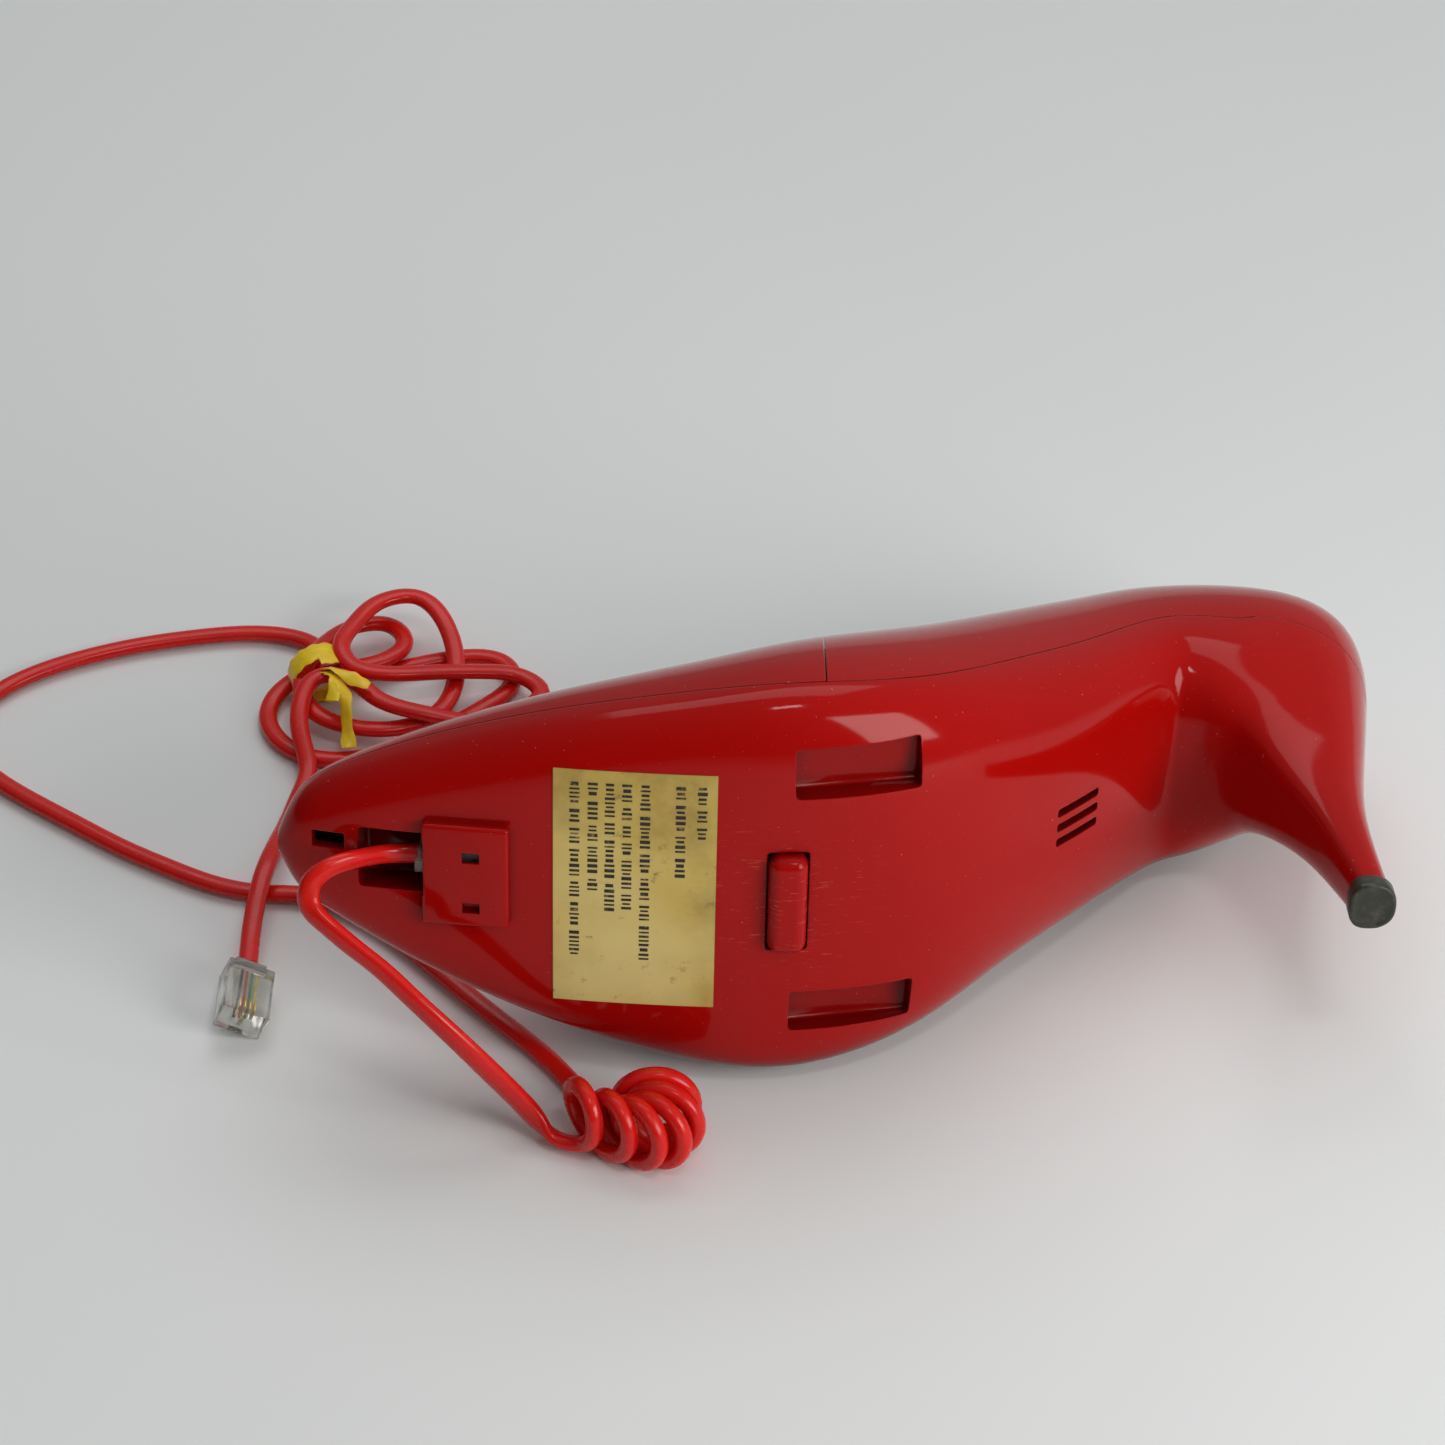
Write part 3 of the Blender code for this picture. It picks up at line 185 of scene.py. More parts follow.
LINE_PLUG_SIZE = (17.0, 9.65, 7.4)
LINE_PLUG_PLACE = (-118.8, -33.0, 5.0)
CONTACT_PITCH = 1.02


# ---- numbers ----
def smooth(knots, values):
    """A natural cubic curve through given points, as a function of one number."""
    knots, values = [float(k) for k in knots], [float(v) for v in values]
    count = len(knots)
    step = np.diff(knots)
    matrix, rhs = np.eye(count), np.zeros(count)
    for i in range(1, count - 1):
        matrix[i, i - 1:i + 2] = (step[i - 1], 2 * (step[i - 1] + step[i]), step[i])
        rhs[i] = 6 * ((values[i + 1] - values[i]) / step[i] - (values[i] - values[i - 1]) / step[i - 1])
    bend = [float(b) for b in np.linalg.solve(matrix, rhs)]

    def value_at(at):
        at = min(max(at, knots[0]), knots[-1])
        i = min(max(bisect.bisect_left(knots, at) - 1, 0), count - 2)
        width, run = knots[i + 1] - knots[i], at - knots[i]
        slope = (values[i + 1] - values[i]) / width - width * (2 * bend[i] + bend[i + 1]) / 6
        twist = (bend[i + 1] - bend[i]) / (6 * width)
        return values[i] + run * slope + run ** 2 * bend[i] / 2 + run ** 3 * twist
    return value_at


def spaced(start, stop, count):
    return [start + (stop - start) * i / (count - 1) for i in range(count)]


SECTION_CURVES = [smooth(range(len(SECTIONS)), column) for column in zip(*SECTIONS)]
TOPLINE_SIDE = smooth((4, 6, 8, 10, 12), (0.69, 0.72, 0.77, 0.80, 0.82))
INSOLE_CURVE = smooth(*zip(*INSOLE_PROFILE))


@functools.lru_cache(maxsize=None)
def section(row):
    return tuple(curve(row) for curve in SECTION_CURVES)


# ---- the pump's skin ----
def turn_at_height(row, fraction):
    s = section(row)
    if fraction < s[WIDEST]:
        cosine = (1 - max(fraction, 0.0) / s[WIDEST]) ** (s[LOWER] / 2)
    else:
        cosine = -(min(fraction - s[WIDEST], 1 - s[WIDEST]) / (1 - s[WIDEST])) ** (s[UPPER] / 2)
    return math.acos(max(-1.0, min(1.0, cosine))) / math.pi


def skin_point(row, turn, side):
    """A point of the outer skin: turn runs from 0 at the bottom to 1 at the top of a section."""
    s = section(row)
    angle = turn * math.pi
    power = 2 / (s[LOWER] if turn < 0.5 else s[UPPER])
    rise = abs(math.cos(angle)) ** power
    fraction = s[WIDEST] * (1 - rise) if turn < 0.5 else s[WIDEST] + (1 - s[WIDEST]) * rise
    across = s[HALF] * abs(math.sin(angle)) ** power
    return Vector((s[BOTTOM_X] + fraction * (s[TOP_X] - s[BOTTOM_X]), s[SHIFT] + side * across,
                   s[BOTTOM_Z] + fraction * (s[TOP_Z] - s[BOTTOM_Z])))


def inner_point(row, turn, side, depth):
    step = 0.01
    along = skin_point(min(row + step, LAST_ROW), turn, side) - skin_point(max(row - step, 0.0), turn, side)
    if min(turn, 1 - turn) < 0.0001:
        near = step if turn < 0.5 else 1 - step
        around = skin_point(row, near, side) - skin_point(row, near, -side)
        around *= 1 if turn < 0.5 else -1
    else:
        around = skin_point(row, min(turn + step, 1.0), side) - skin_point(row, max(turn - step, 0.0), side)
    inward = along.cross(around).normalized() * side
    return skin_point(row, turn, side) + inward * depth


@functools.lru_cache(maxsize=None)
def row_at_x(x):
    low, high = 0.0, SOLE_END_ROW
    for _ in range(40):
        middle = (low + high) / 2
        low, high = (middle, high) if section(middle)[BOTTOM_X] < x else (low, middle)
    return low


def seam_end_row(offset):
    return SEAM_BACK_ROW - offset / ROW_SPACING_AT_BACK


def seam_turn(row, offset):
    start = section(min(row, SEAM_ARC_ROW))
    length = math.hypot(start[TOP_X] - start[BOTTOM_X], start[TOP_Z] - start[BOTTOM_Z])
    turn = turn_at_height(min(row, SEAM_ARC_ROW), start[SEAM] + offset / length)
    along = min(max(row - SEAM_ARC_ROW, 0.0) / (seam_end_row(offset) - SEAM_ARC_ROW), 1.0)
    return 1 - (1 - turn) * math.sqrt(1 - along ** 2)


def arc_rows(offset, count):
    reach = seam_end_row(offset) - SEAM_ARC_ROW
    return [SEAM_ARC_ROW + reach * math.sin(angle) for angle in spaced(0, math.pi / 2, count)]


def topline_turn(row):
    x = section(row)[BOTTOM_X]
    if x <= THROAT_X or row >= TOPLINE_BACK_ROW:
        return 1.0
    opened = min((x - THROAT_X) / THROAT_LENGTH, 1.0)
    front = math.sqrt(1 - (1 - opened) ** 2)
    back = math.sqrt(min((TOPLINE_BACK_ROW - row) / TOPLINE_BACK_ROWS, 1.0))
    return 1 - (1 - TOPLINE_SIDE(row)) * front * back


def sole_height(x, y):
    s = section(row_at_x(x))
    across = min(abs(y - s[SHIFT]) / s[HALF], 1.0)
    sine = across ** (s[LOWER] / 2)
    fraction = s[WIDEST] * (1 - math.sqrt(1 - sine ** 2) ** (2 / s[LOWER]))
    return s[BOTTOM_Z] + fraction * (s[TOP_Z] - s[BOTTOM_Z])


def sole_slope(x):
    return math.atan2(sole_height(x + 1, 0) - sole_height(x - 1, 0), 2)


def sole_place(x, y, depth):
    slope = sole_slope(x)
    return Vector((x - math.sin(slope) * depth, y, sole_height(x, 0) + math.cos(slope) * depth))


def half_width_at(x, z):
    low, high = 0.0, COUNTER_END_ROW
    for _ in range(24):
        row = (low + high) / 2
        s = section(row)
        along = Vector((s[TOP_X] - s[BOTTOM_X], s[TOP_Z] - s[BOTTOM_Z]))
        reach = Vector((x - s[BOTTOM_X], z - s[BOTTOM_Z]))
        low, high = (row, high) if reach.x * along.y - reach.y * along.x > 0 else (low, row)
    turn = turn_at_height(row, reach.dot(along) / along.length_squared)
    return skin_point(row, turn, 1).y - s[SHIFT], s[SHIFT]


# ---- materials ----
class Look:
    """A node material with named helpers, so that each finish reads as a short list of layers.

    Every mesh is drawn in the row frame, so object coordinates are row coordinates in metres.
    """

    def __init__(self, name, colour, roughness, **sockets):
        self.material = bpy.data.materials.new(name)
        self.material.use_nodes = True
        self.tree = self.material.node_tree
        self.shader = self.tree.nodes["Principled BSDF"]
        self.shader.inputs["Base Color"].default_value = (*colour, 1)
        self.shader.inputs["Roughness"].default_value = roughness
        for key, value in sockets.items():
            self.shader.inputs[key.replace("_", " ")].default_value = value
        self.place = self.tree.nodes.new("ShaderNodeTexCoord").outputs["Object"]
        self.normal = None

    def feed(self, socket, value):
        if isinstance(value, bpy.types.NodeSocket):
            self.tree.links.new(value, socket)
        else:
            socket.default_value = value

    def node(self, kind, **inputs):
        made = self.tree.nodes.new("ShaderNode" + kind)
        for key, value in inputs.items():
            self.feed(made.inputs[key.replace("_", " ")], value)
        return made

    def noise(self, scale, detail=3.0, stretch=(1, 1, 1), rough=0.5):
        scaled = self.node("Mapping", Vector=self.place, Scale=stretch).outputs[0]
        made = self.node("TexNoise", Vector=scaled, Scale=scale, Detail=detail, Roughness=rough)
        return made.outputs["Fac"]

    def range(self, value, low, high, to_low, to_high):
        return self.node("MapRange", Value=value, From_Min=low, From_Max=high,
                         To_Min=to_low, To_Max=to_high).outputs[0]

    def math(self, operation, first, second):
        made = self.node("Math")
        made.operation = operation
        self.feed(made.inputs[0], first)
        self.feed(made.inputs[1], second)
        return made.outputs[0]

    def tint(self, colour, amount):
        """Mix a colour over what there is, by a mask."""
        mix = self.node("Mix")
        mix.data_type = "RGBA"
        factor, under, over, result = mix.inputs[0], mix.inputs[6], mix.inputs[7], mix.outputs[2]
        base = self.shader.inputs["Base Color"]
        self.feed(under, base.links[0].from_socket if base.links else base.default_value[:])
        self.feed(over, (*colour, 1))
        self.feed(factor, amount)
        self.feed(base, result)

    def rough(self, value):
        self.feed(self.shader.inputs["Roughness"], value)

    def bump(self, height, strength, distance):
        made = self.node("Bump", Height=height, Strength=strength, Distance=distance)
        if self.normal:
            self.feed(made.inputs["Normal"], self.normal)
        self.normal = made.outputs[0]
        self.feed(self.shader.inputs["Normal"], self.normal)

    def worn_edges(self, radius):
        """Shade sharp edges as if they were rounded, millimetres."""
        bevel = self.node("Bevel", Radius=radius * MM)
        bevel.samples = 4
        self.normal = bevel.outputs[0]

    def distance_from(self, point, reach):
        """1 at a point of the pump, falling to 0 at a distance, millimetres."""
        away = self.node("VectorMath")
        away.operation = "DISTANCE"
        self.tree.links.new(self.place, away.inputs[0])
        away.inputs[1].default_value = SHOE @ (Vector(point) * MM)
        return self.range(away.outputs["Value"], 0.0, reach * MM, 1.0, 0.0)


def red_plastic():
    look = Look("red_plastic", (0.40, 0.0030, 0.002), 0.1, IOR=1.46, Specular_IOR_Level=0.21)
    look.worn_edges(0.35)
    look.tint((0.31, 0.0015, 0.001), look.range(look.noise(14, 2), 0.35, 0.75, 0.0, 0.5))
    specks = look.range(look.noise(1500, 2, rough=0.6), 0.735, 0.76, 0.0, 0.3)
    look.tint((0.8, 0.5, 0.42), specks)
    bar = look.distance_from((HOOK_BAR_X - 1, HOOK_BAR_Y, 0), 24)
    scratches = look.range(look.noise(260, 4, (1, 1, 9), 0.7), 0.60, 0.7, 0.0, 1.0)
    scuffs = look.math("MULTIPLY", look.math("MULTIPLY", bar, scratches), 0.7)
    look.tint((0.72, 0.14, 0.09), scuffs)
    # Painted shade: the base colour turns deep red where ambient occlusion finds near surfaces, in the
    # pockets, recesses and seams and near the floor.
    painted_shade_ao = look.node("AmbientOcclusion", Distance=15 * MM)
    painted_shade_ao.samples = 6
    look.tint((0.10, 0.0008, 0.0008), look.range(painted_shade_ao.outputs["AO"], 0.3, 0.85, 0.95, 0.0))
    hair = look.range(look.noise(90, 5, (1, 3, 14), 0.75), 0.66, 0.71, 0.0, 0.16)
    base = look.range(look.noise(40, 4, rough=0.6), 0.3, 0.75, 0.05, 0.14)
    look.rough(look.math("ADD", look.math("ADD", base, hair), scuffs))
    look.bump(look.noise(55, 2), 0.05, 0.0012)
    look.bump(look.noise(900, 2), 0.02, 0.0001)
    return look.material


def cord_jacket():
    look = Look("cord_jacket", (0.70, 0.009, 0.005), 0.22, Specular_IOR_Level=0.35)
    look.tint((0.52, 0.005, 0.003), look.range(look.noise(60, 3), 0.4, 0.75, 0.0, 0.6))
    look.tint((0.7, 0.3, 0.26), look.range(look.noise(1800, 2), 0.72, 0.76, 0.0, 0.3))
    look.rough(look.range(look.noise(180, 3), 0.3, 0.7, 0.17, 0.33))
    look.bump(look.noise(300, 3), 0.12, 0.0003)
    return look.material


def aged_paper():
    look = Look("aged_paper", (0.62, 0.44, 0.10), 0.4)
    look.tint((0.38, 0.25, 0.05), look.range(look.noise(48, 5, rough=0.65), 0.42, 0.66, 0.0, 0.9))
    look.tint((0.74, 0.58, 0.22), look.range(look.noise(30, 3), 0.5, 0.7, 0.0, 0.8))
    look.tint((0.24, 0.14, 0.03), look.range(look.noise(260, 6, rough=0.75), 0.60, 0.70, 0.0, 0.8))
    look.rough(look.range(look.noise(120, 4), 0.3, 0.7, 0.32, 0.55))
    look.bump(look.noise(420, 4), 0.25, 0.0001)
    return look.material


def label_ink():
    look = Look("label_ink", (0.018, 0.015, 0.01), 0.5)
    look.tint((0.30, 0.22, 0.08), look.range(look.noise(500, 4, rough=0.7), 0.56, 0.68, 0.0, 0.8))
    return look.material


def black_rubber():
    look = Look("black_rubber", (0.022, 0.022, 0.014), 0.36)
    look.tint((0.075, 0.075, 0.05), look.range(look.noise(350, 5, rough=0.7), 0.5, 0.75, 0.0, 0.8))
    look.rough(look.range(look.noise(300, 4), 0.3, 0.7, 0.28, 0.55))
    look.bump(look.noise(900, 4), 0.4, 0.0002)
    return look.material


def lining():
    look = Look("black_lining", (0.02, 0.018, 0.018), 0.5, Sheen_Weight=0.25)
    grain = look.node("TexVoronoi", Vector=look.place, Scale=1100.0).outputs["Distance"]
    look.tint((0.05, 0.045, 0.045), look.range(look.noise(70, 4), 0.4, 0.75, 0.0, 0.8))
    look.rough(look.range(grain, 0.0, 0.6, 0.42, 0.62))
    look.bump(grain, 0.5, 0.0003)
    return look.material


def satin(name, colour, roughness, other, metallic=0.0, scale=300):
    """A moulded or plated surface with a fine uneven finish."""
    look = Look(name, colour, roughness, Metallic=metallic)
    look.tint(other, look.range(look.noise(scale, 4, rough=0.6), 0.4, 0.75, 0.0, 0.7))
    look.rough(look.range(look.noise(scale * 2, 3), 0.3, 0.7, roughness * 0.8, roughness * 1.3))
    look.bump(look.noise(scale * 4, 2), 0.15, 0.0001)
    return look.material


def circuit_board():
    look = Look("circuit_board", (0.02, 0.12, 0.05), 0.35)
    tracks = look.node("TexVoronoi", Vector=look.place, Scale=260.0)
    tracks.distance = "CHEBYCHEV"
    look.tint((0.05, 0.26, 0.11), look.range(tracks.outputs["Distance"], 0.32, 0.36, 0.0, 0.8))
    look.rough(look.range(look.noise(400), 0.3, 0.7, 0.3, 0.45))
    look.bump(tracks.outputs["Distance"], 0.3, 0.0001)
    return look.material


def clear_plastic():
    look = Look("clear_plastic", (0.93, 0.93, 0.90), 0.06, Transmission_Weight=0.92, IOR=1.45)
    look.tint((0.78, 0.74, 0.64), look.range(look.noise(240, 4), 0.45, 0.75, 0.0, 0.6))
    look.rough(look.range(look.noise(500, 4), 0.3, 0.7, 0.04, 0.16))
    look.bump(look.noise(700, 3), 0.15, 0.0001)
    return look.material


# ---- making pieces ----
def add_object(name, data):
    item = bpy.data.objects.new(name, data)
    bpy.context.scene.collection.objects.link(item)
    return item


def smooth_but_sharp(mesh, degrees):
    """Smooth shading, with every edge sharp that turns by more than the angle."""
    mesh.shade_smooth()
    mesh.set_sharp_from_angle(angle=math.radians(degrees))


def place_mesh(name, bm, look, place=SHOE, sharp=35, scale=MM):
    bmesh.ops.scale(bm, vec=(scale,) * 3, verts=bm.verts)
    bmesh.ops.transform(bm, matrix=place, verts=bm.verts)
    mesh = bpy.data.meshes.new(name)
    bm.to_mesh(mesh)
    bm.free()
    smooth_but_sharp(mesh, sharp)
    mesh.materials.append(look)
    return add_object(name, mesh)


def keep(item, body=HANDSET, stands_for=None):
    """Say which body a finished piece rides on and what it stands for."""
    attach(item, body)
    if stands_for:
        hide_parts(stands_for)
    return item


def cut_or_add(item, steps, place=SHOE, sharp=35):
    """Apply Booleans with drawn tools and delete the tools."""
    tools = []
    for operation, bm in steps:
        tool = place_mesh("tool", bm, item.data.materials[0], place)
        step = item.modifiers.new("step", "BOOLEAN")
        step.operation, step.solver, step.object = operation, "EXACT", tool
        tools.append(tool)
    bpy.context.view_layer.update()
    seen = bpy.context.evaluated_depsgraph_get()
    mesh = bpy.data.meshes.new_from_object(item.evaluated_get(seen))
    item.modifiers.clear()
    item.data = mesh
    smooth_but_sharp(mesh, sharp)
    for tool in tools:
        bpy.data.objects.remove(tool, do_unlink=True)
    return item


def add_box(bm, centre, size, pitch=0.0, bevel=0.0, segments=3):
    made = bmesh.ops.create_cube(bm, size=1.0)["verts"]
    bmesh.ops.scale(bm, vec=size, verts=made)
    if bevel:
        edges = list(dict.fromkeys(edge for vert in made for edge in vert.link_edges))
        made = bmesh.ops.bevel(bm, geom=edges, offset=bevel, segments=segments, affect="EDGES",
                               profile=0.5)["verts"]
    place = Matrix.Translation(centre) @ Matrix.Rotation(-pitch, 4, "Y")
    bmesh.ops.transform(bm, matrix=place, verts=made)
    return made


def add_cylinder(bm, centre, radius, depth, sides=24):
    bmesh.ops.create_cone(bm, cap_ends=True, segments=sides, radius1=radius, radius2=radius,
                          depth=depth, matrix=Matrix.Translation(centre))


def boxes(*entries):
    """A mesh of separate boxes: (centre, size, pitch, bevel)."""
    bm = bmesh.new()
    for entry in entries:
        add_box(bm, *entry)
    return bm


def stack_rings(rings):
    bm = bmesh.new()
    grid = [[bm.verts.new(point) for point in ring] for ring in rings]
    sides = len(grid[0])
    for here, there in zip(grid, grid[1:]):
        for i in range(sides):
            bm.faces.new((here[i], here[(i + 1) % sides], there[(i + 1) % sides], there[i]))
    bm.faces.new(grid[0])
    bm.faces.new(grid[-1])
    bmesh.ops.recalc_face_normals(bm, faces=bm.faces)
    return bm


def closed_sheet(near, far):
    """A closed body between two grids of points of the same shape."""
    bm = bmesh.new()
    layers = [[[bm.verts.new(point) for point in line] for line in grid] for grid in (near, far)]
    last_x, last_y = len(near) - 1, len(near[0]) - 1
    for layer in layers:
        for i in range(last_x):
            for j in range(last_y):
                bm.faces.new((layer[i][j], layer[i + 1][j], layer[i + 1][j + 1], layer[i][j + 1]))
    border = [(i, 0) for i in range(last_x)] + [(last_x, j) for j in range(last_y)]
    border += [(i, last_y) for i in range(last_x, 0, -1)] + [(0, j) for j in range(last_y, 0, -1)]
    near, far = layers
    for (i, j), (k, m) in zip(border, border[1:] + border[:1]):
        bm.faces.new((near[i][j], near[k][m], far[k][m], far[i][j]))
    bmesh.ops.recalc_face_normals(bm, faces=bm.faces)
    return bm


# ---- shells ----
def front_rows():
    return spaced(0, 2, 26)[:-1] + spaced(2, row_at_x(VERTICAL_SEAM_X), 72)


def rear_rows(offset):
    before_arc = spaced(row_at_x(VERTICAL_SEAM_X), 10, 46)[:-1] + spaced(10, SEAM_ARC_ROW, 14)[:-1]
    return before_arc + arc_rows(offset, 40)


def skin_patch(rows, first_turn, last_turn, columns, crowding=1.0):
    bm = bmesh.new()
    place = [bm.verts.layers.float.new(name) for name in ("row", "turn", "side")]
    for side in (1, -1):
        grid = []
        for row in rows:
            start, stop = first_turn(row), last_turn(row)
            line = []
            for j in range(columns + 1):
                turn = start + (stop - start) * (j / columns) ** crowding
                vert = bm.verts.new(skin_point(row, turn, side))
                for layer, value in zip(place, (row, turn, side)):
                    vert[layer] = value
                line.append(vert)
            grid.append(line)
        for here, there in zip(grid, grid[1:]):
            for j in range(columns):
                corners = [here[j], there[j], there[j + 1], here[j + 1]]
                bm.faces.new(corners if side < 0 else corners[::-1])
    bmesh.ops.remove_doubles(bm, verts=bm.verts, dist=0.01)
    bmesh.ops.dissolve_degenerate(bm, edges=bm.edges, dist=0.01)
    return bm


def close_front(bm):
    front = min(vert.co.x for vert in bm.verts)
    at_front = [vert for vert in bm.verts if vert.co.x < front + 0.01]
    edges = [edge for edge in bm.edges if edge.is_boundary and all(vert in at_front for vert in edge.verts)]
    chosen = set(edges)
    ends = [vert for vert in at_front if sum(edge in chosen for edge in vert.link_edges) == 1]
    if len(ends) == 2:
        edges.append(bm.edges.new(ends))
    bmesh.ops.contextual_create(bm, geom=edges)


def thicken(bm, thickness, last_hollow_row=LAST_ROW):
    place = [bm.verts.layers.float[name] for name in ("row", "turn", "side")]
    outer_faces = list(bm.faces)
    rims = [edge for edge in bm.edges if edge.is_boundary]
    twins = {}
    for vert in list(bm.verts):
        row, turn, side = (vert[layer] for layer in place)
        if row <= last_hollow_row:
            twins[vert] = bm.verts.new(inner_point(row, turn, side, thickness))
    inner_edges = {}
    for face in outer_faces:
        if all(vert in twins for vert in face.verts):
            bm.faces.new([twins[vert] for vert in reversed(face.verts)])
            for edge in face.edges:
                inner_edges[edge] = inner_edges.get(edge, 0) + 1
    for edge in rims:
        first, second = edge.verts
        if first in twins and second in twins:
            bm.faces.new((first, second, twins[second], twins[first]))
    floor = [bm.edges.get([twins[vert] for vert in edge.verts])
             for edge, used in inner_edges.items() if used == 1 and edge not in rims]
    if floor:
        bmesh.ops.contextual_create(bm, geom=floor)
    bmesh.ops.recalc_face_normals(bm, faces=bm.faces)
    if bm.calc_volume(signed=True) < 0:
        bmesh.ops.reverse_faces(bm, faces=bm.faces)
    return bm


def sole_box(along, across, depth, outside=4.0):
    """A box into the sole from outside it."""
    x, y = sum(along) / 2, sum(across) / 2
    size = (along[1] - along[0], across[1] - across[0], depth + outside)
    return sole_place(x, y, size[2] / 2 - outside), size, sole_slope(x)


def recess_wall(along, across, depth):
    """The material behind a recess: its near face follows the sole just inside the skin."""
    wall, floor, inside = 1.6, 1.0, 1.0
    slope = sole_slope(sum(along) / 2)
    bottom = sole_place(sum(along) / 2, 0, depth + floor)
    lean = math.sin(slope) * (depth + floor)
    near, far = [], []
    for x in spaced(along[0] - wall, along[1] + wall, 16):
        ys = spaced(across[0] - wall, across[1] + wall, 10)
        near.append([(x, y, sole_height(x, y) + inside) for y in ys])
        far.append([(x - lean, y, bottom.z + (x - lean - bottom.x) * math.tan(slope)) for y in ys])
    return closed_sheet(near, far)


def make_lower_shell(look):
    rows = front_rows()[:-1] + rear_rows(-HALF_SEAM) + spaced(SPIKE_START_ROW, LAST_ROW, 44)
    bm = skin_patch(rows, lambda row: 0.0, lambda row: seam_turn(row, -HALF_SEAM), 34, 1.25)
    close_front(bm)
    tip_edges = [edge for edge in bm.edges if edge.is_boundary
                 and max(v.co.z for v in edge.verts) < 4.5 and min(v.co.x for v in edge.verts) > 190]
    bmesh.ops.contextual_create(bm, geom=tip_edges)
    thicken(bm, WALL, CAVITY_END_ROW)
    shell = place_mesh("sole_moulding", bm, look)
    block_x, block_y = sum(JACK_BLOCK_X) / 2, sum(JACK_BLOCK_Y) / 2
    block = (JACK_BLOCK_X[1] - JACK_BLOCK_X[0], JACK_BLOCK_Y[1] - JACK_BLOCK_Y[0], JACK_BLOCK_PROUD + 4.0)
    slope = sole_slope(JACK_X)
    nest = (JACK_SIZE[0] + 2 * GAP, JACK_SIZE[1] + 2 * GAP, 12.0)
    way_in = (6.0, PLUG_SIZE[1] + 0.8, PLUG_SIZE[2] + 0.8)
    bar_slot = (HOOK_BAR_SIZE[0] + 2 * GAP, HOOK_BAR_SIZE[1] + 2 * GAP, 12.0)
    recesses = [(*sole_box(*recess), 0.8) for recess in RECESSES]
    recesses.append((*sole_box(TOE_SLOT_X, TOE_SLOT_Y, 8.0), 0.4))
    recesses.append((sole_place(HOOK_BAR_X, HOOK_BAR_Y, 0.0), bar_slot, 0.0, 0.6))
    vents = [(sole_place(VENT_X, y, 0.0), (*VENT_SIZE, 8.0), sole_slope(VENT_X), 0.55) for y in VENT_Y]
    steps = [
        ("UNION", boxes((sole_place(block_x, block_y, block[2] / 2 - JACK_BLOCK_PROUD), block,
                         sole_slope(block_x), 0.7))),
        *[("UNION", recess_wall(*recess)) for recess in RECESSES],
        ("DIFFERENCE", boxes(*recesses, *vents)),
        ("DIFFERENCE", boxes((sole_place(JACK_X, PLUG_Y, nest[2] / 2 - 1.4), nest, slope))),
        ("DIFFERENCE", boxes((sole_place(JACK_X - 8.4, PLUG_Y, PLUG_DEPTH), way_in, slope))),
        ("DIFFERENCE", boxes(*[(sole_place(JACK_X + 1.0, y, -2.6), (3.3, 2.2, 3.4), slope)
                               for y in JACK_SLIT_Y])),
    ]
    return keep(cut_or_add(shell, steps), stands_for="lower_shell")


def make_vamp_shell(look):
    last = row_at_x(VERTICAL_SEAM_X - HALF_SEAM)
    throat = row_at_x(THROAT_X)
    rows = [row for row in front_rows() if abs(row - throat) > 0.03 and row < last - 0.01]
    rows = sorted(rows + [throat + step for step in (0.0, 0.002, 0.008, 0.02, 0.035)] + [last])
    bm = skin_patch(rows, lambda row: seam_turn(row, HALF_SEAM), topline_turn, 34)
    close_front(bm)
    keep(place_mesh("vamp_moulding", thicken(bm, WALL), look), stands_for="vamp_shell")


def make_quarter_shell(look):
    first = row_at_x(VERTICAL_SEAM_X + HALF_SEAM)
    rows = [row for row in rear_rows(HALF_SEAM)[:-1] if row > first + 0.01]
    rows = sorted([first] + rows + [TOPLINE_BACK_ROW - step for step in (0.0, 0.002, 0.008, 0.02, 0.04)])
    bm = skin_patch(rows, lambda row: seam_turn(row, HALF_SEAM), topline_turn, 34)
    keep(place_mesh("quarter_moulding", thicken(bm, WALL), look), stands_for="quarter_shell")


def make_seam_lip(look):
    """The vamp's tongue behind the short vertical seam, which keeps light out of it."""
    rows = [row_at_x(VERTICAL_SEAM_X + step) for step in (-2.5, -1.2, 0.0, 1.2, 2.5)]
    bm = skin_patch(rows, lambda row: seam_turn(row, 1.5), lambda row: topline_turn(row) - 0.02, 34)
    outer = list(bm.verts)
    thicken(bm, WALL + 0.7)
    layers = [bm.verts.layers.float[name] for name in ("row", "turn", "side")]
    for vert in outer:
        vert.co = inner_point(*[vert[layer] for layer in layers], WALL + 0.05)
    keep(place_mesh("vamp_tongue", bm, look))


def make_heel_tip(look):
    end, back = skin_point(LAST_ROW, 0.0, 1), skin_point(LAST_ROW, 1.0, 1)
    centre_x, half_x = (end.x + back.x) / 2, (back.x - end.x) / 2 + 0.9
    half_y = section(LAST_ROW)[HALF] + 0.3
    ring = []
    for i in range(72):
        x, y = math.cos(math.tau * i / 72), math.sin(math.tau * i / 72)
        ring.append((half_x * math.copysign(abs(x) ** (0.62 if x < 0 else 1.0), x),
                     half_y * math.copysign(abs(y) ** 0.8, y)))
    top = end.z - 0.05
    levels = ((0.95, top), (0.985, top - 0.1), (1.0, top - 0.35), (1.0, 0.8), (0.985, 0.35), (0.94, 0.1),
              (0.86, 0.0), (0.80, 0.12), (0.5, 0.16))
    bm = stack_rings([[(centre_x + x * scale, y * scale, z) for x, y in ring] for scale, z in levels])
    keep(place_mesh("heel_top_piece", bm, look, sharp=50), stands_for="heel_tip")


